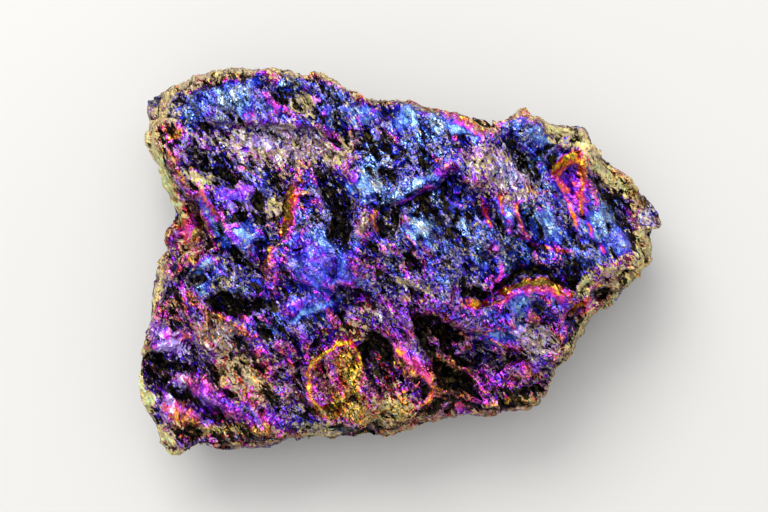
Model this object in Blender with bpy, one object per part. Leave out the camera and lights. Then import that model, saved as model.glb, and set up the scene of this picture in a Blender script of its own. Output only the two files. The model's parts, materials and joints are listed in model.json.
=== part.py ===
# A loose lump of bornite, the copper ore that tarnishes to peacock colours.
#
# The real thing is one piece: a hand specimen broken from a vein on every side. Its upper face is a rough
# fracture of ledges, scoops and pits, its flanks slope out to a waist and tuck in below, and it lies on
# the flattest part of its underside.
#
# Frame: origin on the surface it lies on, under the middle of the stone; +X along its length, +Z up.
# Lengths below are in millimetres, measured from that origin, and become metres in finish_mesh.

import bpy
import numpy as np

MM = 0.001

# Driving dimensions
PEAK_HEIGHT = 32.0  # where the upper faces would meet if nothing had broken off above them
WAIST_SHARE = 0.30  # how far down the flank the stone is widest, as a share of the flank
UNDERSIDE_SINK = 1.7  # how far the middle of the underside would reach below the resting plane
RIM_ROLL = 5.0  # power of the upper face's fall towards its rim: larger is flatter with a sharper rim
UNDERSIDE_ROLL = 2.2
GRID_CELLS = (112, 80)  # cells of the worked surface along X and Y, before it is thinned to facets
FLANK_ROWS = 34
TRIANGLES = 9800  # facets kept
RESTING_SNAP = 0.12  # points this near the resting plane are broken off level with it
BRINK_WIDTH = 0.6  # half the width over which a ledge turns from high ground to low

# The widest outline, seen from above, anticlockwise from the lower right corner.
OUTLINE = [
    (20.3, -24.0), (21.9, -22.8), (23.5, -19.9), (24.2, -17.6), (26.7, -14.5), (29.4, -10.5), (30.6, -8.9),
    (33.0, -7.5), (35.1, -5.0), (36.9, -3.6), (38.2, -1.4), (39.5, 0.2), (39.9, 3.2), (40.4, 4.6), (41.6, 5.5),
    (42.2, 6.9), (40.1, 9.8), (37.2, 13.2), (34.5, 15.2), (31.9, 17.6), (29.9, 19.9), (29.4, 20.8),
    (27.6, 21.3), (24.4, 21.7), (22.0, 23.0), (20.9, 22.8), (19.6, 23.7), (17.9, 23.1), (15.3, 21.1),
    (14.3, 20.7), (11.3, 21.9), (8.1, 23.1), (3.3, 24.0), (-0.7, 25.3), (-5.8, 25.7), (-9.5, 27.6),
    (-11.7, 28.7), (-18.1, 30.1), (-22.3, 30.7), (-27.9, 30.3), (-31.1, 29.6), (-34.1, 28.9), (-34.9, 27.8),
    (-37.0, 27.8), (-40.1, 25.8), (-40.4, 24.2), (-40.9, 20.7), (-40.5, 18.8), (-39.1, 15.2), (-37.5, 10.9),
    (-36.7, 7.6), (-37.8, 4.8), (-38.6, 3.5), (-37.8, 2.0), (-39.0, -0.3), (-39.9, -4.7), (-40.5, -8.9),
    (-41.2, -12.0), (-42.2, -15.0), (-42.1, -18.3), (-41.3, -22.5), (-39.2, -25.8), (-38.4, -28.9),
    (-36.7, -30.4), (-35.7, -30.6), (-34.2, -30.0), (-31.9, -29.5), (-29.7, -30.1), (-27.6, -30.1),
    (-23.0, -29.3), (-18.5, -28.7), (-15.1, -28.2), (-8.5, -28.0), (-4.8, -27.9), (-2.8, -28.9),
    (-0.5, -28.5), (3.5, -26.2), (8.0, -24.4), (12.0, -24.7), (17.5, -24.3),
]

# The flank, by compass bearing from the middle in degrees: how far the rim of the upper face stands in from
# the outline, the height of that rim, and how far the foot tucks in under the outline.
FLANK = [
    (-55, 1.0, 15.0, 8.0), (-24, 1.2, 16.5, 8.0), (-5, 1.6, 18.0, 7.0), (6, 3.0, 18.0, 7.0),
    (10, 6.8, 18.5, 7.5), (20, 5.8, 20.0, 8.0), (30, 3.0, 21.0, 8.0), (38, 1.2, 20.5, 6.5),
    (55, 0.9, 20.5, 6.5), (90, 1.0, 22.0, 7.0), (117, 1.7, 22.0, 7.0), (136, 1.3, 21.0, 7.0),
    (147, 3.0, 20.0, 6.0), (157, 4.4, 20.0, 5.5), (166, 4.6, 17.0, 5.0), (173, 2.4, 15.5, 4.0),
    (189, 1.6, 19.0, 5.5), (203, 1.2, 19.0, 6.0), (217, 2.0, 17.0, 7.0), (228, 2.0, 15.0, 7.0),
    (250, 1.5, 14.0, 7.5), (278, 1.2, 13.5, 7.0),
]
FOOT_HEIGHT = 2.6

# Flat fractures that take off whatever stands past them: bearing and tilt of the face in degrees (a
# negative tilt looks down), and its distance from the stone's heart.
HEART = (0.0, 0.0, 12.0)
FRACTURES = {
    "north face": (112, 80, 13.6),
    "south face": (258, 72, 12.6),
    "east face": (2, 77, 14.0),
    "west face": (186, 78, 14.6),
    "middle face": (30, 84, 13.5),
    "south-east face": (305, 67, 14.2),
    "south-west face": (232, 67, 19.2),
    "north-east face": (55, 70, 17.6),
    "north undercut": (80, -32, 22.5),
    "north-west undercut": (138, -30, 41.4),
    "west undercut": (186, -26, 37.5),
    "south-west undercut": (220, -38, 37.4),
    "south undercut": (280, -28, 24.5),
    "south-east undercut": (318, -33, 28.0),
    "east undercut": (8, -30, 36.5),
    "east shoulder": (24, 38, 32.8),
    "west shoulder": (160, 34, 39.0),
    "south brow": (262, 48, 24.6),
}

# Ledges of the upper face: the path of the brink with the high ground on its left, the height of the
# step, and how far the high and low ground reach before they meet the general surface again.
LEDGES = {
    "golden ledge": ([(27.2, -6.6), (25.2, -5.1), (23.4, -3.6), (21.7, -2.9), (19.3, -3.3), (16.9, -4.3),
                      (14.8, -6.0), (12.1, -6.8), (8.6, -6.4)], 2.3, 4.5),
    "central brink": ([(-6.0, 8.2), (-2.0, 8.5), (0.6, 9.2), (3.3, 10.6), (5.7, 11.6), (7.3, 13.2),
                       (9.6, 14.6)], 1.3, 4.0),
    "north shelf": ([(-33.0, 21.6), (-28.7, 21.3), (-25.5, 21.0), (-21.8, 21.5), (-18.0, 21.2),
                     (-14.8, 20.4), (-11.1, 18.8), (-8.0, 16.6)], 1.4, 4.0),
    "yellow brink": ([(-17.0, 17.2), (-16.9, 13.6), (-17.2, 11.2), (-18.1, 9.2), (-18.5, 6.8),
                      (-18.3, 4.5), (-19.4, 2.8), (-21.2, 1.0), (-21.8, -1.2), (-21.2, -5.0)], 1.8, 3.6),
    "south scarp": ([(9.6, -23.6), (6.8, -20.0), (5.1, -17.2), (3.1, -14.4), (1.5, -11.5), (0.9, -8.2),
                     (1.6, -6.0)], 2.3, 4.2),
    "west cleft wall": ([(-33.2, 13.6), (-31.1, 9.2), (-29.2, 6.1), (-26.9, 3.2), (-24.7, 0.7),
                         (-22.4, -1.8)], 2.8, 3.4),
    "scoop brink": ([(29.4, 9.4), (27.2, 10.6), (25.2, 12.6), (23.4, 13.6), (23.0, 16.0), (25.0, 17.6),
                     (28.0, 18.4)], 1.3, 2.6),
    "east brink": ([(37.2, 1.4), (36.6, 5.4), (34.4, 10.4), (31.8, 15.2), (30.0, 18.4)], 0.9, 2.4),
    "breccia edge": ([(28.0, -8.0), (27.4, -4.4), (30.0, -1.8), (34.6, -1.2), (37.8, -1.6)], 1.2, 3.4),
    "south terrace": ([(-15.4, -12.6), (-15.6, -18.6), (-14.6, -22.4), (-12.4, -25.6)], 1.1, 3.0),
    "loop brow": ([(-2.4, -24.0), (-5.4, -19.0), (-6.4, -14.6), (-10.2, -12.8), (-15.0, -13.6)], 1.0, 2.6),
    "south-east terrace": ([(25.0, -15.6), (20.4, -15.2), (15.8, -17.8), (9.8, -17.4), (6.0, -13.4)], 1.4, 3.6),
    "lilac bench": ([(30.2, -10.0), (26.0, -13.2), (21.8, -13.6), (18.0, -11.0), (17.0, -8.0)], 1.1, 3.0),
    "north-east step": ([(26.2, 20.6), (22.0, 15.8), (19.4, 12.6), (19.0, 8.8)], 1.3, 3.0),
}

# Long grooves (negative) and ridges (positive): path, height, half width.
FURROWS = {
    "golden crevice": ([(26.0, -4.4), (23.4, -2.4), (21.4, -1.6), (19.0, -2.0), (16.4, -3.0), (14.2, -4.7),
                        (11.8, -5.5), (8.4, -5.0)], -1.2, 0.7),
    "central canyon": ([(-13.4, 13.0), (-10.6, 9.6), (-9.4, 6.4), (-9.8, 3.4), (-8.4, 0.6)], -2.6, 1.5),
    "west cleft": ([(-33.6, 10.2), (-32.0, 6.4), (-30.8, 3.2), (-28.6, 0.6)], -3.0, 1.2),
    "north notch": ([(-10.6, 24.0), (-9.6, 20.6), (-8.2, 17.4)], -1.2, 0.8),
    "saddle": ([(14.8, 20.0), (17.4, 17.0), (20.6, 14.6), (22.4, 10.6)], -1.8, 1.6),
    "east furrow": ([(30.8, 16.8), (31.4, 12.6), (34.2, 8.6), (35.8, 5.0)], -1.5, 1.1),
    "scoop": ([(26.2, 16.2), (26.8, 13.0), (27.8, 9.6)], -1.7, 2.2),
    "red rib": ([(27.6, 17.6), (29.0, 14.4), (30.6, 10.6), (31.4, 6.8), (32.6, 2.6)], 1.1, 0.7),
    "short rib west": ([(12.4, 9.8), (12.9, 7.2), (13.6, 4.6)], 0.9, 0.6),
    "short rib middle": ([(15.4, 10.4), (15.8, 7.6), (16.8, 5.2)], 0.9, 0.6),
    "short rib east": ([(18.4, 10.2), (18.2, 7.4), (19.0, 4.6), (20.6, 2.6)], 1.0, 0.7),
    "violet ribs": ([(-19.6, -12.0), (-17.8, -15.6), (-16.2, -18.4)], 0.8, 0.8),
    "south-west rib": ([(-37.0, -17.2), (-33.6, -19.8), (-29.8, -22.2), (-25.4, -24.8)], 1.2, 1.0),
    "south-west furrow": ([(-36.0, -21.0), (-31.6, -23.6), (-27.0, -26.6)], -1.0, 0.8),
    "west furrow": ([(-39.0, -14.4), (-35.0, -15.4), (-31.0, -17.6), (-27.4, -20.4)], -1.3, 1.0),
    "dark gully": ([(1.6, -9.6), (4.4, -10.6), (7.0, -12.2), (8.6, -15.0)], -1.6, 1.6),
    "north gully": ([(-33.4, 17.6), (-29.6, 13.4), (-25.2, 11.8), (-21.0, 8.8)], -1.4, 1.4),
    "middle furrow": ([(-20.6, -6.2), (-13.6, -3.6), (-8.0, -6.6), (-2.4, -4.6), (6.0, -4.8)], -0.9, 1.0),
}

# Pits (negative) and knobs (positive): middle, half length, half width, turn in degrees, height.
HOLLOWS = {
    "west pit": ((-26.4, -6.9), 4.6, 1.7, -4, -2.9),
    "wedge pit": ((-31.7, -2.6), 2.1, 1.0, 32, -1.7),
    "rim hollow": ((-38.6, -15.8), 2.6, 1.2, -12, -1.9),
    "lower pit": ((-35.6, -21.2), 2.3, 1.0, -25, -1.6),
    "small south pit": ((-26.4, -20.8), 1.4, 0.9, -20, -1.6),
    "pebble socket": ((-2.2, 5.6), 1.5, 2.2, 10, -1.7),
    "tan pebble": ((-5.5, 6.2), 1.5, 2.6, 15, 1.7),
    "shadow hollow": ((27.0, -2.4), 2.3, 2.3, -30, -2.8),
    "drill pit": ((9.2, -12.4), 1.0, 1.0, 0, -2.0),
    "black triangle": ((6.4, -11.0), 2.6, 1.7, -40, -2.0),
    "breccia pit": ((32.2, -5.4), 1.9, 1.2, 10, -1.9),
    "brown dell": ((-15.4, 11.2), 2.3, 1.7, -20, -1.4),
    "grey boss": ((-22.0, 17.6), 6.2, 2.6, -8, 0.8),
    "lilac boss": ((12.6, 13.4), 4.8, 3.4, -30, 0.9),
    "pink flake": ((-34.6, 6.8), 1.3, 2.6, 12, 1.7),
    "pale lens": ((1.9, -3.4), 2.6, 1.0, -14, 0.8),
    "rim block": ((-36.0, -12.6), 2.6, 1.5, -14, 1.1),
    "gold loop floor": ((-10.4, -18.6), 3.4, 5.0, 5, -1.0),
    "south gully": ((-4.0, -14.6), 2.2, 2.0, -35, -1.7),
    "north peak": ((20.0, 20.6), 2.6, 1.8, 25, 1.1),
    "blue brow": ((-24.0, 25.4), 7.0, 2.6, 6, 0.9),
    "middle blue face": ((-11.6, -1.8), 4.0, 5.0, 30, 0.9),
}

# Fracture grain: its facets are long in the direction that runs down to the right in plan.
GRAIN_BEARING = -56

# Layers of fracture: size of a scar, its height, how much longer it is along the grain, a number that makes
# the layer its own, and whether its scars are hollow shells with sharp ridges between or flat stepped chips.
SCAR_LAYERS = [
    (14.0, 1.5, 1.2, 3, "shell"), (6.4, 0.85, 1.6, 11, "shell"), (3.1, 0.36, 1.8, 23, "shell"),
    (4.6, 0.30, 1.8, 37, "chip"),
]


def clear_scene():
    for old in list(bpy.data.objects):
        bpy.data.objects.remove(old)


def bearing_vector(bearing, tilt=0.0):
    """Unit vector that looks along a compass bearing, tilted up from level, both in degrees."""
    turn, lift = np.radians(bearing), np.radians(tilt)
    return np.array([np.cos(turn) * np.cos(lift), np.sin(turn) * np.cos(lift), np.sin(lift)])


def cell_numbers(cells, salt):
    """One repeatable number in 0..1 for each whole-numbered cell, from mixing the bits of its three indices."""
    x, y, z = (cells[..., i].astype(np.int64).astype(np.uint64) for i in range(3))
    with np.errstate(over="ignore"):
        key = x * np.uint64(73856093) ^ y * np.uint64(19349663) ^ z * np.uint64(83492791)
        key ^= np.uint64(salt * 2654435761)
        for shift, factor in ((15, 2246822519), (13, 3266489917)):
            key = (key ^ (key >> np.uint64(shift))) * np.uint64(factor)
        key ^= key >> np.uint64(16)
    return (key & np.uint64(0xFFFFFF)) / float(0x1000000)


def smooth_noise(points, size, salt):
    """Soft swelling in -1..1: random numbers on a lattice of the given size, blended between its corners."""
    q = points / size
    corner = np.floor(q)
    t = q - corner
    t = t * t * (3 - 2 * t)
    total = np.zeros(len(points))
    for step in np.ndindex(2, 2, 2):
        weight = np.prod(np.where(step, t, 1 - t), axis=1)
        total += weight * (2 * cell_numbers(corner + step, salt) - 1)
    return total


def scar_relief(points, size, stretch, salt, kind):
    """Broken ground in about -1..1. Scattered seeds each own a tilted scar, longer along the grain. For
    shells the ground is the lowest of the tilted bowls round the nearby seeds, so scars meet in sharp ridges.
    For chips it is the flat tilted face of the nearest seed, so scars meet in steps."""
    grain = bearing_vector(GRAIN_BEARING)
    swell = np.column_stack([smooth_noise(points, size * 1.3, salt + i) for i in (5, 6, 7)])
    q = points + 0.22 * size * swell
    q = (q - np.outer(q @ grain, grain) * (1 - 1 / stretch)) / size
    home = np.floor(q)
    lowest = np.full(len(q), np.inf)
    ground = np.zeros(len(q))
    for step in np.ndindex(3, 3, 3):
        cell = home + np.array(step) - 1
        offset = q - cell - np.column_stack([0.1 + 0.8 * cell_numbers(cell, salt + i) for i in range(3)])
        slope = np.column_stack([2 * cell_numbers(cell, salt + 30 + i) - 1 for i in range(3)])
        height = 2 * cell_numbers(cell, salt + 40) - 1
        gap = (offset**2).sum(axis=1)
        if kind == "shell":
            rank = 0.45 * height + 0.8 * (slope * offset).sum(axis=1) + 0.8 * gap
            face = 2.5 * (rank + 0.1)
        else:
            rank = gap
            face = height + 1.1 * (slope * offset).sum(axis=1)
        closer = rank < lowest
        lowest[closer] = rank[closer]
        ground[closer] = face[closer]
    return np.clip(ground, -1.4, 1.4)


def path_distance(places, path):
    """Distance of each place from a path, positive on its left, and how far along the path it lies, 0 to 1."""
    path = np.array(path)
    lengths = np.linalg.norm(np.diff(path, axis=0), axis=1)
    nearest, share = np.full(len(places), np.inf), np.zeros(len(places))
    for i, run in enumerate(np.diff(path, axis=0)):
        offset = places - path[i]
        along = np.clip(offset @ run / lengths[i] ** 2, 0, 1)
        gap = np.linalg.norm(offset - np.outer(along, run), axis=1)
        side = np.sign(run[0] * offset[:, 1] - run[1] * offset[:, 0])
        closer = gap < np.abs(nearest)
        nearest[closer] = (gap * np.where(side < 0, -1, 1))[closer]
        share[closer] = ((lengths[:i].sum() + along * lengths[i]) / lengths.sum())[closer]
    return nearest, share


def end_fade(share):
    """1 along the middle of a path, easing to 0 at its two ends."""
    return np.clip(5 * np.minimum(share, 1 - share), 0, 1) ** 0.7


def ledge_height(places, path, height, reach):
    """A step: high ground left of the brink and low ground right of it, both dying away with distance."""
    gap, share = path_distance(places, path)
    return height * gap / np.hypot(gap, BRINK_WIDTH) * np.exp(-np.abs(gap) / reach) * end_fade(share)


def furrow_height(places, path, height, half_width):
    gap, share = path_distance(places, path)
    return height * np.exp(-((gap / half_width) ** 2)) * end_fade(share)


def hollow_height(places, middle, half_length, half_width, turn, height):
    """A pit or knob with steep sides and a flattish middle, oval in plan."""
    along = bearing_vector(turn)[:2]
    offset = places - np.array(middle)
    u, v = offset @ along, offset @ np.array([-along[1], along[0]])
    q = (u / half_length) ** 2 + (v / half_width) ** 2
    return height * np.exp(-(q**1.5))


def relief_height(places):
    """Everything that shapes the upper face, as a height over each place in plan."""
    height = np.zeros(len(places))
    for path, step, reach in LEDGES.values():
        height += ledge_height(places, path, step, reach)
    for path, rise, half_width in FURROWS.values():
        height += furrow_height(places, path, rise, half_width)
    for middle, half_length, half_width, turn, rise in HOLLOWS.values():
        height += hollow_height(places, middle, half_length, half_width, turn, rise)
    return height


def outline_places(share):
    """Points of the outline at these shares of the way round it."""
    corners = np.array(OUTLINE + OUTLINE[:1])
    runs = np.concatenate([[0], np.cumsum(np.linalg.norm(np.diff(corners, axis=0), axis=1))])
    walk = np.mod(share, 1.0) * runs[-1]
    return np.column_stack([np.interp(walk, runs, corners[:, i]) for i in range(2)])


def flank_values(places):
    """Rim inset, rim height and foot inset at these places of the outline, read off by their bearing."""
    table = np.array(FLANK, dtype=float)
    bearing = np.degrees(np.arctan2(places[:, 1], places[:, 0]))
    return [np.interp(bearing, table[:, 0], table[:, i], period=360) for i in (1, 2, 3)]


def sheet_grid():
    """Points of a square of cells: how far out each is, 0 in the middle to 1 on the border, and its share of
    the way round, anticlockwise from the lower right corner."""
    nx, ny = GRID_CELLS
    b, a = np.meshgrid(np.linspace(-1, 1, ny + 1), np.linspace(-1, 1, nx + 1), indexing="ij")
    out = np.maximum(np.abs(a), np.abs(b))
    safe = np.where(out == 0, 1, out)
    a, b = a / safe, b / safe
    walk = np.select(
        [a >= 1 - 1e-9, b >= 1 - 1e-9, a <= -1 + 1e-9],
        [(b + 1) / 2 * ny, ny + (1 - a) / 2 * nx, ny + nx + (1 - b) / 2 * ny],
        default=2 * ny + nx + (a + 1) / 2 * nx,
    )
    return out.ravel(), walk.ravel() / (2 * (nx + ny))


def border_indices():
    """Indices of the square's border points, in the order of their walk round it."""
    nx, ny = GRID_CELLS
    index = np.arange((nx + 1) * (ny + 1)).reshape(ny + 1, nx + 1)
    return np.concatenate([index[:-1, -1], index[-1, :0:-1], index[:0:-1, 0], index[0, :-1]])


def body_surface():
    """The plain body: an upper and an under sheet, each a square grid stretched to the outline, joined by rows
    down the flank. Returns its points, its four-cornered faces, each point's share of the upper face's relief,
    and how near each is to the outline, 1 on it and 0 well away."""
    nx, ny = GRID_CELLS
    out, round_share = sheet_grid()
    edge = outline_places(round_share)
    inset, rim_height, foot_inset = flank_values(edge)
    radius = np.linalg.norm(edge, axis=1)

    top = np.column_stack([
        edge * (out * (1 - inset / radius))[:, None],
        PEAK_HEIGHT - (PEAK_HEIGHT - rim_height) * out**RIM_ROLL,
    ])
    under = np.column_stack([
        edge * (out * (1 - foot_inset / radius))[:, None],
        -UNDERSIDE_SINK + (FOOT_HEIGHT + UNDERSIDE_SINK) * out**UNDERSIDE_ROLL,
    ])

    border = border_indices()
    down = (np.arange(1, FLANK_ROWS) / FLANK_ROWS)[:, None]
    above = np.clip(1 - down / WAIST_SHARE, 0, 1)
    below = np.clip((down - WAIST_SHARE) / (1 - WAIST_SHARE), 0, 1)
    tuck = inset[border] * above**1.3 + foot_inset[border] * below**1.9
    flank = np.dstack([
        edge[border][None, :, :] * (1 - tuck / radius[border])[..., None],
        rim_height[border] * (1 - down) + FOOT_HEIGHT * down,
    ]).reshape(-1, 3)

    points = np.concatenate([top, flank, under])
    flank_share = np.repeat(above.ravel() ** 0.8, len(border))
    upper_share = np.concatenate([np.ones(len(top)), flank_share, np.zeros(len(under))])

    index = np.arange(len(top)).reshape(ny + 1, nx + 1)
    cells = np.stack([index[:-1, :-1], index[:-1, 1:], index[1:, 1:], index[1:, :-1]], axis=-1).reshape(-1, 4)
    rows = np.vstack([
        border,
        len(top) + np.arange(len(flank)).reshape(-1, len(border)),
        len(top) + len(flank) + border,
    ])
    beside = np.roll(rows, -1, axis=1)
    walls = np.stack([rows[1:], beside[1:], beside[:-1], rows[:-1]], axis=-1).reshape(-1, 4)
    faces = np.concatenate([cells, walls, cells[:, ::-1] + len(top) + len(flank)])

    around = np.concatenate([np.arange(len(top)), np.tile(border, FLANK_ROWS - 1), np.arange(len(under))])
    waist_height = (rim_height * (1 - WAIST_SHARE) + FOOT_HEIGHT * WAIST_SHARE)[around]
    off_outline = np.linalg.norm(points[:, :2] - edge[around], axis=1)
    nearness = np.exp(-((off_outline / 3.5) ** 2) - ((points[:, 2] - waist_height) / 6) ** 2)
    return points, faces, upper_share, nearness


def take_off_fractures(points):
    """Points past a flat fracture are brought back on to it."""
    for bearing, tilt, distance in FRACTURES.values():
        look = bearing_vector(bearing, tilt)
        past = np.maximum((points - HEART) @ look - distance, 0)
        points = points - past[:, None] * look
    return points


def outward(points, faces):
    """Unit normal at each point, averaged from the faces round it."""
    corners = points[faces]
    face_normal = np.cross(corners[:, 2] - corners[:, 0], corners[:, 3] - corners[:, 1])
    normal = np.zeros_like(points)
    for i in range(4):
        np.add.at(normal, faces[:, i], face_normal)
    return normal / np.maximum(np.linalg.norm(normal, axis=1), 1e-12)[:, None]


def stone_surface():
    """The broken stone: the body with its flat fractures, the relief of its upper face and its scars."""
    points, faces, upper_share, nearness = body_surface()
    points = take_off_fractures(points)
    normal = outward(points, faces)
    points[:, 2] += relief_height(points[:, :2]) * upper_share
    for size, height, stretch, salt, kind in SCAR_LAYERS:
        kept = 1 - nearness * min(size / 8, 0.9)
        points += normal * (height * kept * scar_relief(points, size, stretch, salt, kind))[:, None]
    points[:, 2] = np.maximum(points[:, 2], 0)
    return points, faces


def finish_mesh(name, points, faces):
    """The solid in metres, thinned to its facets: large on flat ground, small along sharp brinks."""
    mesh = bpy.data.meshes.new(name)
    mesh.from_pydata((points * MM).tolist(), [], faces.tolist())
    stone = bpy.data.objects.new(name, mesh)
    bpy.context.scene.collection.objects.link(stone)
    thin = stone.modifiers.new("thin to facets", "DECIMATE")
    thin.ratio = TRIANGLES / (2 * len(faces))
    graph = bpy.context.evaluated_depsgraph_get()
    stone.data = bpy.data.meshes.new_from_object(stone.evaluated_get(graph))
    stone.data.name = name
    stone.modifiers.clear()

    place = np.empty(len(stone.data.vertices) * 3, np.float32)
    stone.data.vertices.foreach_get("co", place)
    place = place.reshape(-1, 3)
    place[place[:, 2] < RESTING_SNAP * MM, 2] = 0
    place[:, :2] -= (place.min(axis=0) + place.max(axis=0))[:2] / 2
    stone.data.vertices.foreach_set("co", place.ravel())
    stone.data.update()
    return stone


def tarnished_bornite():
    """Metallic blue-violet, the mean of the peacock colours seen from a step away."""
    material = bpy.data.materials.new("tarnished_bornite")
    material.use_nodes = True
    shader = material.node_tree.nodes["Principled BSDF"]
    shader.inputs["Base Color"].default_value = (0.10, 0.07, 0.33, 1)
    shader.inputs["Metallic"].default_value = 0.8
    shader.inputs["Roughness"].default_value = 0.42
    return material


def build():
    clear_scene()
    stone = finish_mesh("bornite_stone", *stone_surface())
    stone.data.materials.append(tarnished_bornite())


build()
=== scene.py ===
# %% [markdown]
# # A lump of peacock ore
# The object is one loose hand specimen of bornite, a copper iron sulphide. Fresh bornite is bronze coloured.
# In air a film of oxides and sulphides grows on it, thinner than a wavelength of light, and the film's
# thickness decides the colour: brass where it has only begun, then gold, pink, violet, royal blue and sky.
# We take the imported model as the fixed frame, and work the stone's broken skin again at a finer grain.

# %% Load the frame
import json
import math
from functools import partial

import bpy
import numpy as np
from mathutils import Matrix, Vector

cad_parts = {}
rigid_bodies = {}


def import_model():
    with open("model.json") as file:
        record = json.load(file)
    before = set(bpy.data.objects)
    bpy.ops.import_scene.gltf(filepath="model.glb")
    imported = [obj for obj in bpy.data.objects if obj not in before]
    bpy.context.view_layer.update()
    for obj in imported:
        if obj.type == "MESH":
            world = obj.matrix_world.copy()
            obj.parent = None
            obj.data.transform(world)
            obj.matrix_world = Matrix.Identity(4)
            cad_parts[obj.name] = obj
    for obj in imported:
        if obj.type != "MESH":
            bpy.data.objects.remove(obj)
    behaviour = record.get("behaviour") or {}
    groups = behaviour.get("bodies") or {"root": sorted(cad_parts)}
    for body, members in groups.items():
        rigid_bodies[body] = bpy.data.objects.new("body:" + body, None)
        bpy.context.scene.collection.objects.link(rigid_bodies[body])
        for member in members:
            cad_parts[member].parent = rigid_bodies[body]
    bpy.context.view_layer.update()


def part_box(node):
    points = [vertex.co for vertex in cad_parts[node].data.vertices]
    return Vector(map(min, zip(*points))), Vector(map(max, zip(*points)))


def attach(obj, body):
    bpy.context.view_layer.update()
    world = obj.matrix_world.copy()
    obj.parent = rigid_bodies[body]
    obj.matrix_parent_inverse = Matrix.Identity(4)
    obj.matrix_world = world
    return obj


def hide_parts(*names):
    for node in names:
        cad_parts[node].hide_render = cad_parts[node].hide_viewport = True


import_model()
NODE = "bornite_stone"
MM = 0.001

# %% [markdown]
# ## The outline
# Seen from above the stone is a blunt wedge: wide and square on the left, pointed on the right. We could cut
# a block to this outline, but a broken stone has no flat top and no straight sides. Instead the outline is
# one of two parameters of a surface: how far round the stone we are, and how far out from its middle.
# All lengths are millimetres here and become metres when the mesh is made.

# %% The outline and the flank
OUTLINE = [
    (20.3, -24.0), (21.9, -22.8), (23.5, -19.9), (24.2, -17.6), (26.7, -14.5), (29.4, -10.5), (30.6, -8.9),
    (33.0, -7.5), (35.1, -5.0), (36.9, -3.6), (38.2, -1.4), (39.5, 0.2), (39.9, 3.2), (40.4, 4.6),
    (41.6, 5.5), (42.2, 6.9), (40.1, 9.8), (37.2, 13.2), (34.5, 15.2), (31.9, 17.6), (29.9, 19.9),
    (29.4, 20.8), (27.6, 21.3), (24.4, 21.7), (22.0, 23.0), (20.9, 22.8), (19.6, 23.7), (17.9, 23.1),
    (15.3, 21.1), (14.3, 20.7), (11.3, 21.9), (8.1, 23.1), (3.3, 24.0), (-0.7, 25.3), (-5.8, 25.7),
    (-9.5, 27.6), (-11.7, 28.7), (-18.1, 30.1), (-22.3, 30.7), (-27.9, 30.3), (-31.1, 29.6), (-34.1, 28.9),
    (-34.9, 27.8), (-37.0, 27.8), (-40.1, 25.8), (-40.4, 24.2), (-40.9, 20.7), (-40.5, 18.8), (-39.1, 15.2),
    (-37.5, 10.9), (-36.7, 7.6), (-37.8, 4.8), (-38.6, 3.5), (-37.8, 2.0), (-39.0, -0.3), (-39.9, -4.7),
    (-40.5, -8.9), (-41.2, -12.0), (-42.2, -15.0), (-42.1, -18.3), (-41.3, -22.5), (-39.2, -25.8),
    (-38.4, -28.9), (-36.7, -30.4), (-35.7, -30.6), (-34.2, -30.0), (-31.9, -29.5), (-29.7, -30.1),
    (-27.6, -30.1), (-23.0, -29.3), (-18.5, -28.7), (-15.1, -28.2), (-8.5, -28.0), (-4.8, -27.9),
    (-2.8, -28.9), (-0.5, -28.5), (3.5, -26.2), (8.0, -24.4), (12.0, -24.7), (17.5, -24.3),
]
# Bearing in degrees; the upper rim's inset from the outline and its height; the foot's inset.
FLANK = [
    (-55, 1.0, 15.0, 8.0), (-24, 1.2, 16.5, 8.0), (-5, 1.6, 18.0, 7.0), (6, 3.0, 18.0, 7.0),
    (10, 6.8, 18.5, 7.5), (20, 5.8, 20.0, 8.0), (30, 3.0, 21.0, 8.0), (38, 1.2, 20.5, 6.5),
    (55, 0.9, 20.5, 6.5), (90, 1.0, 22.0, 7.0), (117, 1.7, 22.0, 7.0), (136, 1.3, 21.0, 7.0),
    (147, 3.0, 20.0, 6.0), (157, 4.4, 20.0, 5.5), (166, 4.6, 17.0, 5.0), (173, 2.4, 15.5, 4.0),
    (189, 1.6, 19.0, 5.5), (203, 1.2, 19.0, 6.0), (217, 2.0, 17.0, 7.0), (228, 2.0, 15.0, 7.0),
    (250, 1.5, 14.0, 7.5), (278, 1.2, 13.5, 7.0),
]
PEAK_HEIGHT = 32.0
FOOT_HEIGHT = 2.6
WAIST_SHARE = 0.30  # how far down the flank the stone is widest
UNDERSIDE_SINK = 1.7
RIM_ROLL, UNDERSIDE_ROLL = 5.0, 2.2  # powers of the distance out
OVER_WAIST, UNDER_WAIST = 1.3, 1.9  # powers of the way up and down from the waist
RELIEF_FADE = 0.8  # power of the way up from the waist, for the share of the upper relief
NEAR_OUTLINE, NEAR_WAIST = 3.5, 6.0  # millimetres within which a point belongs to the outline


def outline_places(share):
    """Points of the outline at these shares of the way round: lengths summed corner to corner, then
    interpolated."""
    corners = np.array(OUTLINE + OUTLINE[:1])
    runs = np.concatenate([[0], np.cumsum(np.linalg.norm(np.diff(corners, axis=0), axis=1))])
    walk = np.mod(share, 1.0) * runs[-1]
    return np.column_stack([np.interp(walk, runs, corners[:, i]) for i in range(2)])


def flank_values(places):
    """Rim inset, rim height and foot inset, interpolated by the bearing of each place from the middle."""
    table = np.array(FLANK, dtype=float)
    bearing = np.degrees(np.arctan2(places[:, 1], places[:, 0]))
    return [np.interp(bearing, table[:, 0], table[:, i], period=360) for i in (1, 2, 3)]


outline_length = np.linalg.norm(np.diff(np.array(OUTLINE + OUTLINE[:1]), axis=0), axis=1).sum()
print(f"outline: {len(OUTLINE)} corners, {outline_length:.0f} mm round")

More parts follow.
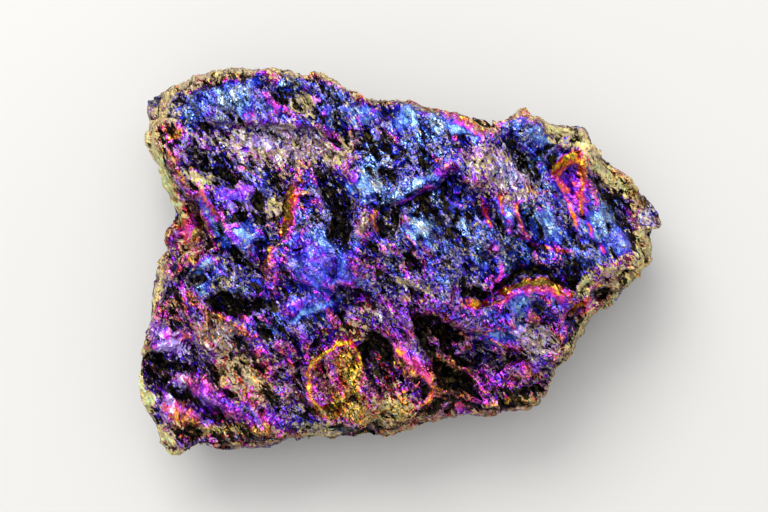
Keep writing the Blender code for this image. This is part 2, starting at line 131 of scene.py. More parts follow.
# %% [markdown]
# ## The plain body
# A square sheet of cells is pulled over the top of the stone, so that its concentric squares become
# concentric copies of the outline, and its border becomes the rim. The height falls from the middle to the
# rim as the distance out to the fifth power, which is nearly flat and then turns down sharply. Rows of
# cells carry the rim down the flank to the foot, and a second sheet with cells twice as wide closes the
# underside, which is seen only when the stone is picked up. A ball pushed into shape would crowd its points
# at two poles, and a square sheet has none.

# %% Square sheets of cells
TOP_CELLS = (272, 200)
FLANK_ROWS = 26


def sheet_grid(nx, ny):
    """For each point of a square grid: how far out it is, the larger of |a| and |b|, and its share of the
    way round its own square, anticlockwise from the lower right corner."""
    b, a = np.meshgrid(np.linspace(-1, 1, ny + 1), np.linspace(-1, 1, nx + 1), indexing="ij")
    out = np.maximum(np.abs(a), np.abs(b))
    safe = np.where(out == 0, 1, out)
    a, b = a / safe, b / safe
    walk = np.select(
        [a >= 1 - 1e-9, b >= 1 - 1e-9, a <= -1 + 1e-9],
        [(b + 1) / 2 * ny, ny + (1 - a) / 2 * nx, ny + nx + (1 - b) / 2 * ny],
        default=2 * ny + nx + (a + 1) / 2 * nx,
    )
    return out.ravel(), walk.ravel() / (2 * (nx + ny))


def sheet_faces(nx, ny):
    """The four corners of each cell of a sheet whose points are numbered row by row, anticlockwise."""
    index = np.arange((nx + 1) * (ny + 1)).reshape(ny + 1, nx + 1)
    return np.stack([index[:-1, :-1], index[:-1, 1:], index[1:, 1:], index[1:, :-1]], axis=-1).reshape(-1, 4)


def sheet_border(nx, ny):
    """The points round a sheet's border, anticlockwise from the lower right corner."""
    index = np.arange((nx + 1) * (ny + 1)).reshape(ny + 1, nx + 1)
    return np.concatenate([index[:-1, -1], index[-1, :0:-1], index[:0:-1, 0], index[0, :-1]])


print("cells of the upper sheet:", TOP_CELLS[0] * TOP_CELLS[1])

# %% Join the sheets into a closed body


def sheet_points(nx, ny, upper):
    """A sheet pulled to the outline: plan = outline point x distance out, height = level + a power of the
    distance out."""
    out, share = sheet_grid(nx, ny)
    edge = outline_places(share)
    inset, rim_height, foot_inset = flank_values(edge)
    radius = np.linalg.norm(edge, axis=1)
    if upper:
        plan = edge * (out * (1 - inset / radius))[:, None]
        height = PEAK_HEIGHT - (PEAK_HEIGHT - rim_height) * out**RIM_ROLL
    else:
        plan = edge * (out * (1 - foot_inset / radius))[:, None]
        height = -UNDERSIDE_SINK + (FOOT_HEIGHT + UNDERSIDE_SINK) * out**UNDERSIDE_ROLL
    return np.column_stack([plan, height]), edge


def flank_points(edge):
    """Rows from rim to foot: plan = outline point x (1 - inset / radius). The inset fades to 0 at the waist
    as a power of the way up, and grows to the foot's inset as a power of the way down."""
    inset, rim_height, foot_inset = flank_values(edge)
    radius = np.linalg.norm(edge, axis=1)
    down = (np.arange(1, FLANK_ROWS) / FLANK_ROWS)[:, None]
    above = np.clip(1 - down / WAIST_SHARE, 0, 1)
    below = np.clip((down - WAIST_SHARE) / (1 - WAIST_SHARE), 0, 1)
    tuck = inset * above**OVER_WAIST + foot_inset * below**UNDER_WAIST
    plan = edge[None] * (1 - tuck / radius)[..., None]
    height = rim_height * (1 - down) + FOOT_HEIGHT * down
    return np.dstack([plan, height]).reshape(-1, 3), np.repeat(above.ravel() ** RELIEF_FADE, len(edge))


def stitch(fine, coarse):
    """Three triangles for each coarse step join a row to one with half as many points."""
    left, middle, right = fine[0::2], fine[1::2], np.roll(fine[0::2], -1)
    after = np.roll(coarse, -1)
    return np.concatenate([
        np.column_stack([middle, left, coarse]),
        np.column_stack([middle, coarse, after]),
        np.column_stack([right, middle, after]),
    ])


def body_surface():
    """Points, quads, triangles, each point's share of the upper relief, and nearness to the outline."""
    nx, ny = TOP_CELLS
    half = (nx // 2, ny // 2)
    top, top_edge = sheet_points(nx, ny, upper=True)
    under, under_edge = sheet_points(*half, upper=False)
    border = sheet_border(nx, ny)
    flank, flank_share = flank_points(top_edge[border])

    first_flank, first_under = len(top), len(top) + len(flank)
    rows = np.vstack([border, first_flank + np.arange(len(flank)).reshape(-1, len(border))])
    beside = np.roll(rows, -1, axis=1)
    walls = np.stack([rows[1:], beside[1:], beside[:-1], rows[:-1]], axis=-1).reshape(-1, 4)
    quads = np.concatenate([sheet_faces(nx, ny), walls, sheet_faces(*half)[:, ::-1] + first_under])
    triangles = stitch(rows[-1], first_under + sheet_border(*half))

    points = np.concatenate([top, flank, under])
    upper_share = np.concatenate([np.ones(len(top)), flank_share, np.zeros(len(under))])
    edge = np.concatenate([top_edge, np.tile(top_edge[border], (FLANK_ROWS - 1, 1)), under_edge])
    rim_height = flank_values(edge)[1]
    waist_height = rim_height * (1 - WAIST_SHARE) + FOOT_HEIGHT * WAIST_SHARE
    off_outline = np.linalg.norm(points[:, :2] - edge, axis=1)
    off_waist = points[:, 2] - waist_height
    nearness = np.exp(-((off_outline / NEAR_OUTLINE) ** 2) - (off_waist / NEAR_WAIST) ** 2)
    return points, quads, triangles, upper_share, nearness


points, quads, triangles, upper_share, nearness = body_surface()
print("body:", len(points), "points,", 2 * len(quads) + len(triangles), "triangles")

# %% [markdown]
# ## The flat fractures
# When ore is broken from a vein it parts along a few large flat faces. Each is a plane, given by the bearing
# and tilt that it looks along and its distance from the stone's heart, and every point past the plane is
# brought back on to it. Boolean cuts would do the same, but moving the points keeps the even cells.

# %% Take off what stands past each fracture
HEART = (0.0, 0.0, 12.0)
FRACTURES = {
    "north face": (112, 80, 13.6),
    "south face": (258, 72, 12.6),
    "east face": (2, 77, 14.0),
    "west face": (186, 78, 14.6),
    "middle face": (30, 84, 13.5),
    "south-east face": (305, 67, 14.2),
    "south-west face": (232, 67, 19.2),
    "north-east face": (55, 70, 17.6),
    "north undercut": (80, -32, 22.5),
    "north-west undercut": (138, -30, 41.4),
    "west undercut": (186, -26, 37.5),
    "south-west undercut": (220, -38, 37.4),
    "south undercut": (280, -28, 24.5),
    "south-east undercut": (318, -33, 28.0),
    "east undercut": (8, -30, 36.5),
    "east shoulder": (24, 38, 32.8),
    "west shoulder": (160, 34, 39.0),
    "south brow": (262, 48, 24.6),
}


def bearing_vector(bearing, tilt=0.0):
    """Unit vector along a compass bearing, tilted up from level, both in degrees."""
    turn, lift = np.radians(bearing), np.radians(tilt)
    return np.array([np.cos(turn) * np.cos(lift), np.sin(turn) * np.cos(lift), np.sin(lift)])


def take_off_fractures(points):
    """Each point moves back along the face's direction by as much as it stands past the face."""
    for bearing, tilt, distance in FRACTURES.values():
        look = bearing_vector(bearing, tilt)
        past = np.maximum((points - HEART) @ look - distance, 0)
        points = points - past[:, None] * look
    return points


def outward(points, quads):
    """Unit normal at each point: the cross products of the diagonals of its quads, summed."""
    corners = points[quads]
    face_normal = np.cross(corners[:, 2] - corners[:, 0], corners[:, 3] - corners[:, 1])
    normal = np.zeros_like(points)
    for i in range(4):
        np.add.at(normal, quads[:, i], face_normal)
    return normal / np.maximum(np.linalg.norm(normal, axis=1), 1e-12)[:, None]


points = take_off_fractures(points)
normal = outward(points, quads)
print("fractures:", len(FRACTURES), "highest ground:", round(points[:, 2].max(), 1), "mm")

# %% [markdown]
# ## Soft noise
# Nothing on broken stone runs quite straight. Blender has noise for materials, but whole arrays of points
# need their own. Each corner of a lattice gets a number by mixing the bits of its place, so each run gives
# the same stone, and a point blends the numbers of the eight corners round it.

# %% Repeatable numbers and soft noise
# Odd whole numbers with well mixed bits.
AXIS_FACTORS = (73856093, 19349663, 83492791)
SALT_FACTOR = 2654435761
MIXING = ((15, 2246822519), (13, 3266489917))
LAST_SHIFT, KEPT_BITS = 16, 0xFFFFFF


def cell_numbers(cells, salt):
    """One number in 0..1 for each whole-numbered cell, from mixing the bits of its three indices."""
    x, y, z = (cells[..., i].astype(np.int64).astype(np.uint64) for i in range(3))
    with np.errstate(over="ignore"):
        key = x * np.uint64(AXIS_FACTORS[0]) ^ y * np.uint64(AXIS_FACTORS[1]) ^ z * np.uint64(AXIS_FACTORS[2])
        key ^= np.uint64(salt * SALT_FACTOR)
        for shift, factor in MIXING:
            key = (key ^ (key >> np.uint64(shift))) * np.uint64(factor)
        key ^= key >> np.uint64(LAST_SHIFT)
    return (key & np.uint64(KEPT_BITS)) / float(KEPT_BITS + 1)


def smooth_noise(points, size, salt):
    """Numbers of a lattice of this size, in -1..1, blended between the eight corners round each point."""
    q = points / size
    corner = np.floor(q)
    t = q - corner
    t = t * t * (3 - 2 * t)
    total = np.zeros(len(points))
    for step in np.ndindex(2, 2, 2):
        weight = np.prod(np.where(step, t, 1 - t), axis=1)
        total += weight * (2 * cell_numbers(corner + step, salt) - 1)
    return total


print("soft noise at the first points:", smooth_noise(points[:4], 5.0, 1).round(2))

# %% [markdown]
# ## Ledges, furrows, pits and knobs
# These are the forms that you would point at: the golden ledge on the right, the scarp that drops into the
# dark gully, the cleft beside the pink flake. A ledge is a height that changes sign across a path and dies
# away with distance. A furrow is a bell curve of the distance to a path, and a pit or knob is one of the
# distance to a point, with a flatter floor. They could be sculpted, but as paths with heights each one can
# be moved or deepened by changing a number.

# %% The paths and places of the relief
# A ledge is a path, a height and a reach. A furrow is a path, a height and a half width. A hollow is a
# middle, half length, half width, turn in degrees and height. Lengths are in millimetres.
LEDGES = {
    "golden ledge": ([(27.2, -6.6), (25.2, -5.1), (23.4, -3.6), (21.7, -2.9), (19.3, -3.3), (16.9, -4.3),
                      (14.8, -6.0), (12.1, -6.8), (8.6, -6.4)], 2.3, 4.5),
    "central brink": ([(-6.0, 8.2), (-2.0, 8.5), (0.6, 9.2), (3.3, 10.6), (5.7, 11.6), (7.3, 13.2),
                       (9.6, 14.6)], 1.3, 4.0),
    "north shelf": ([(-33.0, 21.6), (-28.7, 21.3), (-25.5, 21.0), (-21.8, 21.5), (-18.0, 21.2),
                     (-14.8, 20.4), (-11.1, 18.8), (-8.0, 16.6)], 1.4, 4.0),
    "yellow brink": ([(-17.0, 17.2), (-16.9, 13.6), (-17.2, 11.2), (-18.1, 9.2), (-18.5, 6.8),
                      (-18.3, 4.5), (-19.4, 2.8), (-21.2, 1.0), (-21.8, -1.2), (-21.2, -5.0)], 1.8, 3.6),
    "south scarp": ([(9.6, -23.6), (6.8, -20.0), (5.1, -17.2), (3.1, -14.4), (1.5, -11.5), (0.9, -8.2),
                     (1.6, -6.0)], 2.3, 4.2),
    "west cleft wall": ([(-33.2, 13.6), (-31.1, 9.2), (-29.2, 6.1), (-26.9, 3.2), (-24.7, 0.7),
                         (-22.4, -1.8)], 2.8, 3.4),
    "scoop brink": ([(29.4, 9.4), (27.2, 10.6), (25.2, 12.6), (23.4, 13.6), (23.0, 16.0), (25.0, 17.6),
                     (28.0, 18.4)], 1.3, 2.6),
    "east brink": ([(37.2, 1.4), (36.6, 5.4), (34.4, 10.4), (31.8, 15.2), (30.0, 18.4)], 0.9, 2.4),
    "breccia edge": ([(28.0, -8.0), (27.4, -4.4), (30.0, -1.8), (34.6, -1.2), (37.8, -1.6)], 1.2, 3.4),
    "south terrace": ([(-15.4, -12.6), (-15.6, -18.6), (-14.6, -22.4), (-12.4, -25.6)], 1.1, 3.0),
    "loop brow": ([(-2.4, -24.0), (-5.4, -19.0), (-6.4, -14.6), (-10.2, -12.8), (-15.0, -13.6)], 1.0, 2.6),
    "south-east terrace": ([(25.0, -15.6), (20.4, -15.2), (15.8, -17.8), (9.8, -17.4), (6.0, -13.4)],
                           1.4, 3.6),
    "lilac bench": ([(30.2, -10.0), (26.0, -13.2), (21.8, -13.6), (18.0, -11.0), (17.0, -8.0)], 1.1, 3.0),
    "north-east step": ([(26.2, 20.6), (22.0, 15.8), (19.4, 12.6), (19.0, 8.8)], 1.3, 3.0),
}
FURROWS = {
    "golden crevice": ([(26.0, -4.4), (23.4, -2.4), (21.4, -1.6), (19.0, -2.0), (16.4, -3.0), (14.2, -4.7),
                        (11.8, -5.5), (8.4, -5.0)], -1.2, 0.7),
    "central canyon": ([(-13.4, 13.0), (-10.6, 9.6), (-9.4, 6.4), (-9.8, 3.4), (-8.4, 0.6)], -2.6, 1.5),
    "west cleft": ([(-33.6, 10.2), (-32.0, 6.4), (-30.8, 3.2), (-28.6, 0.6)], -3.0, 1.2),
    "north notch": ([(-10.6, 24.0), (-9.6, 20.6), (-8.2, 17.4)], -1.2, 0.8),
    "saddle": ([(14.8, 20.0), (17.4, 17.0), (20.6, 14.6), (22.4, 10.6)], -1.8, 1.6),
    "east furrow": ([(30.8, 16.8), (31.4, 12.6), (34.2, 8.6), (35.8, 5.0)], -1.5, 1.1),
    "scoop": ([(26.2, 16.2), (26.8, 13.0), (27.8, 9.6)], -1.7, 2.2),
    "red rib": ([(27.6, 17.6), (29.0, 14.4), (30.6, 10.6), (31.4, 6.8), (32.6, 2.6)], 1.1, 0.7),
    "short rib west": ([(12.4, 9.8), (12.9, 7.2), (13.6, 4.6)], 0.9, 0.6),
    "short rib middle": ([(15.4, 10.4), (15.8, 7.6), (16.8, 5.2)], 0.9, 0.6),
    "short rib east": ([(18.4, 10.2), (18.2, 7.4), (19.0, 4.6), (20.6, 2.6)], 1.0, 0.7),
    "violet ribs": ([(-19.6, -12.0), (-17.8, -15.6), (-16.2, -18.4)], 0.8, 0.8),
    "south-west rib": ([(-37.0, -17.2), (-33.6, -19.8), (-29.8, -22.2), (-25.4, -24.8)], 1.2, 1.0),
    "south-west furrow": ([(-36.0, -21.0), (-31.6, -23.6), (-27.0, -26.6)], -1.0, 0.8),
    "west furrow": ([(-39.0, -14.4), (-35.0, -15.4), (-31.0, -17.6), (-27.4, -20.4)], -1.3, 1.0),
    "dark gully": ([(1.6, -9.6), (4.4, -10.6), (7.0, -12.2), (8.6, -15.0)], -1.6, 1.6),
    "north gully": ([(-33.4, 17.6), (-29.6, 13.4), (-25.2, 11.8), (-21.0, 8.8)], -1.4, 1.4),
    "middle furrow": ([(-20.6, -6.2), (-13.6, -3.6), (-8.0, -6.6), (-2.4, -4.6), (6.0, -4.8)], -0.9, 1.0),
}
HOLLOWS = {
    "west pit": ((-26.4, -6.9), 4.6, 1.7, -4, -2.9),
    "wedge pit": ((-31.7, -2.6), 2.1, 1.0, 32, -1.7),
    "rim hollow": ((-38.6, -15.8), 2.6, 1.2, -12, -1.9),
    "lower pit": ((-35.6, -21.2), 2.3, 1.0, -25, -1.6),
    "small south pit": ((-26.4, -20.8), 1.4, 0.9, -20, -1.6),
    "pebble socket": ((-2.2, 5.6), 1.5, 2.2, 10, -1.7),
    "tan pebble": ((-5.5, 6.2), 1.5, 2.6, 15, 1.7),
    "shadow hollow": ((27.0, -2.4), 2.3, 2.3, -30, -2.8),
    "drill pit": ((9.2, -12.4), 1.0, 1.0, 0, -2.0),
    "black triangle": ((6.4, -11.0), 2.6, 1.7, -40, -2.0),
    "breccia pit": ((32.2, -5.4), 1.9, 1.2, 10, -1.9),
    "brown dell": ((-15.4, 11.2), 2.3, 1.7, -20, -1.4),
    "grey boss": ((-22.0, 17.6), 6.2, 2.6, -8, 0.8),
    "lilac boss": ((12.6, 13.4), 4.8, 3.4, -30, 0.9),
    "pink flake": ((-34.6, 6.8), 1.3, 2.6, 12, 1.7),
    "pale lens": ((1.9, -3.4), 2.6, 1.0, -14, 0.8),
    "rim block": ((-36.0, -12.6), 2.6, 1.5, -14, 1.1),
    "gold loop floor": ((-10.4, -18.6), 3.4, 5.0, 5, -1.0),
    "south gully": ((-4.0, -14.6), 2.2, 2.0, -35, -1.7),
    "north peak": ((20.0, 20.6), 2.6, 1.8, 25, 1.1),
    "blue brow": ((-24.0, 25.4), 7.0, 2.6, 6, 0.9),
    "middle blue face": ((-11.6, -1.8), 4.0, 5.0, 30, 0.9),
}

print("forms:", len(LEDGES), "ledges,", len(FURROWS), "furrows,", len(HOLLOWS), "hollows and knobs")

# %% Raise and sink the ground
BRINK_WIDTH = 0.45
END_RISE, END_POWER = 5, 0.7  # a form is whole from a fifth of its path on
# How much the forms' edges waver: height in millimetres, size of the noise, and a number of its own.
WAVER = [(0.30, 1.7, 181), (0.18, 0.8, 191)]


def path_distance(places, path):
    """Distance from a path, positive on its left, and the share of its length at the nearest point."""
    path = np.array(path)
    lengths = np.linalg.norm(np.diff(path, axis=0), axis=1)
    nearest, share = np.full(len(places), np.inf), np.zeros(len(places))
    for i, run in enumerate(np.diff(path, axis=0)):
        offset = places - path[i]
        along = np.clip(offset @ run / lengths[i] ** 2, 0, 1)
        gap = np.linalg.norm(offset - np.outer(along, run), axis=1)
        side = np.sign(run[0] * offset[:, 1] - run[1] * offset[:, 0])
        closer = gap < np.abs(nearest)
        nearest[closer] = (gap * np.where(side < 0, -1, 1))[closer]
        share[closer] = ((lengths[:i].sum() + along * lengths[i]) / lengths.sum())[closer]
    return nearest, share


def end_fade(share):
    """1 along the middle of a path, falling to 0 at its two ends: (rise x share left) to a power."""
    return np.clip(END_RISE * np.minimum(share, 1 - share), 0, 1) ** END_POWER


def ledge_height(places, path, height, reach):
    """Height x gap / hypot(gap, brink width) x exp(-|gap| / reach): a step that dies away both sides."""
    gap, share = path_distance(places, path)
    return height * gap / np.hypot(gap, BRINK_WIDTH) * np.exp(-np.abs(gap) / reach) * end_fade(share)


def furrow_height(places, path, height, half_width):
    """Height x exp(-(gap / half width) squared): a bell curve across the path."""
    gap, share = path_distance(places, path)
    return height * np.exp(-((gap / half_width) ** 2)) * end_fade(share)


def hollow_height(places, middle, half_length, half_width, turn, height):
    """Height x exp(-distance cubed), the distance from the middle in half lengths and half widths."""
    along = bearing_vector(turn)[:2]
    offset = places - np.array(middle)
    u, v = offset @ along, offset @ np.array([-along[1], along[0]])
    squared = (u / half_length) ** 2 + (v / half_width) ** 2
    return height * np.exp(-(squared**1.5))


def relief_height(places):
    """The sum of all ledges, furrows, pits and knobs over each place in plan."""
    height = np.zeros(len(places))
    for path, step, reach in LEDGES.values():
        height += ledge_height(places, path, step, reach)
    for path, rise, half_width in FURROWS.values():
        height += furrow_height(places, path, rise, half_width)
    for middle, half_length, half_width, turn, rise in HOLLOWS.values():
        height += hollow_height(places, middle, half_length, half_width, turn, rise)
    return height


def noise_offsets(layers, salt_step):
    """East and north offsets of each point: the sum of height x noise over the layers."""
    return np.column_stack([
        sum(height * smooth_noise(points, size, salt + i * salt_step) for height, size, salt in layers)
        for i in (0, 1)
    ])


ragged = noise_offsets(WAVER, 1)
relief = relief_height(points[:, :2] + ragged) * upper_share
points[:, 2] += relief
print(f"relief: {relief.min():.1f} to {relief.max():.1f} mm")

# %% [markdown]
# ## The fracture itself
# Bornite breaks unevenly: small hollow shells that meet in sharp ridges, and flat chips that meet in steps,
# all of them longer down to the right, along the grain. Both come from scattered seeds. For shells the
# ground is the lowest of the tilted bowls round the nearby seeds, so that bowls meet in ridges. For chips
# it is the tilted face of the nearest seed. A height picture could give this look too, but seeds need no
# picture, and their edges are as sharp as the grid allows.

# %% Shells and chips
GRAIN_BEARING = -56  # degrees; the scars are longer this way
BEND, BEND_SIZE = 0.22, 1.3  # how far soft noise bends the scars, and the noise's size, in sizes
SEED_MARGIN = 0.1  # seeds keep off the borders of their cells
SHELL_LIFT, SHELL_TILT, SHELL_CURVE = 0.45, 0.8, 0.8
SHELL_SCALE, SHELL_LEVEL = 2.5, 0.1  # these bring a shell's ground to about -1..1
CHIP_TILT = 1.1
HIGHEST = 1.4


def scar_relief(points, size, stretch, salt, kind):
    """Shells: the lowest of height + slope . offset + distance squared over nearby seeds.
    Chips: height + slope . offset of the nearest seed. Both about -1..1, longer along the grain."""
    grain = bearing_vector(GRAIN_BEARING)
    swell = np.column_stack([smooth_noise(points, size * BEND_SIZE, salt + i) for i in (5, 6, 7)])
    q = points + BEND * size * swell
    q = (q - np.outer(q @ grain, grain) * (1 - 1 / stretch)) / size
    home = np.floor(q)
    lowest = np.full(len(q), np.inf)
    ground = np.zeros(len(q))
    for step in np.ndindex(3, 3, 3):
        cell = home + np.array(step) - 1
        seed = np.column_stack([cell_numbers(cell, salt + i) for i in range(3)])
        offset = q - cell - (SEED_MARGIN + (1 - 2 * SEED_MARGIN) * seed)
        slope = np.column_stack([2 * cell_numbers(cell, salt + 30 + i) - 1 for i in range(3)])
        height = 2 * cell_numbers(cell, salt + 40) - 1
        gap = (offset**2).sum(axis=1)
        if kind == "shell":
            rank = SHELL_LIFT * height + SHELL_TILT * (slope * offset).sum(axis=1) + SHELL_CURVE * gap
            face = SHELL_SCALE * (rank + SHELL_LEVEL)
        else:
            rank = gap
            face = height + CHIP_TILT * (slope * offset).sum(axis=1)
        closer = rank < lowest
        lowest[closer] = rank[closer]
        ground[closer] = face[closer]
    return np.clip(ground, -HIGHEST, HIGHEST)


print("shells on a few points:", scar_relief(points[:4], 6.4, 1.6, 11, "shell").round(2))

# %% Break the surface, coarse scars first
# Size and height in millimetres, stretch along the grain, a number of the layer's own, and its kind.
COARSE_SCARS = [
    (14.0, 1.5, 1.2, 3, "shell"), (6.4, 0.90, 1.6, 11, "shell"), (3.1, 0.50, 1.8, 23, "shell"),
    (4.6, 0.42, 1.8, 37, "chip"),
]
FINE_SCARS = [(2.1, 0.36, 1.9, 53, "chip"), (1.2, 0.14, 1.8, 71, "shell")]
# Scars of this size and more fade out beside the outline, which has its own measured line.
CALMED_SIZE, MOST_CALMED = 8, 0.9

for size, height, stretch, salt, kind in COARSE_SCARS:
    kept = 1 - nearness * min(size / CALMED_SIZE, MOST_CALMED)
    points += normal * (height * kept * scar_relief(points, size, stretch, salt, kind))[:, None]
fine = np.zeros(len(points))
for size, height, stretch, salt, kind in FINE_SCARS:
    fine += height * scar_relief(points, size, stretch, salt, kind)
points += outward(points, quads) * fine[:, None]
points[:, 2] = np.maximum(points[:, 2], 0)
print(f"fine scars: {fine.min():.2f} to {fine.max():.2f} mm")

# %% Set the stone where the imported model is
low, high = (np.array(corner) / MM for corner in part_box(NODE))
points[:, :2] += (low + high)[:2] / 2 - (points.min(axis=0) + points.max(axis=0))[:2] / 2
print("stone:", points.min(axis=0).round(1), "to", points.max(axis=0).round(1), "mm")

# %% [markdown]
# ## Where each colour lies
# The film is thickest on open faces and thin along brinks and on granular patches. A picture could be painted
# on the stone, but numbers kept at each point need none and stay in place when the stone is turned. There are
# six: `film` is where the colour stands on the tarnish scale and `spread` how far it wanders from there,
# `dark` is the share of black crevices and painted shade, `pale` of silvery lilac grains and `crust` of stony
# grains, and `tone` runs the crust from brown through tan to citron. A seventh, `depth`, comes later
# from the relief: painted shade in valleys and painted light on crests.
# Patches are laid one over another like thin washes, with their edges pushed about by noise, and threads of
# gold and pink follow the brinks.

# %% Patches of colour
FIELDS = ("film", "spread", "dark", "pale", "crust", "tone")
BARE = {"film": 0.68, "spread": 1.0, "dark": 0.25, "pale": 0.09, "crust": 0.24, "tone": 0.45}
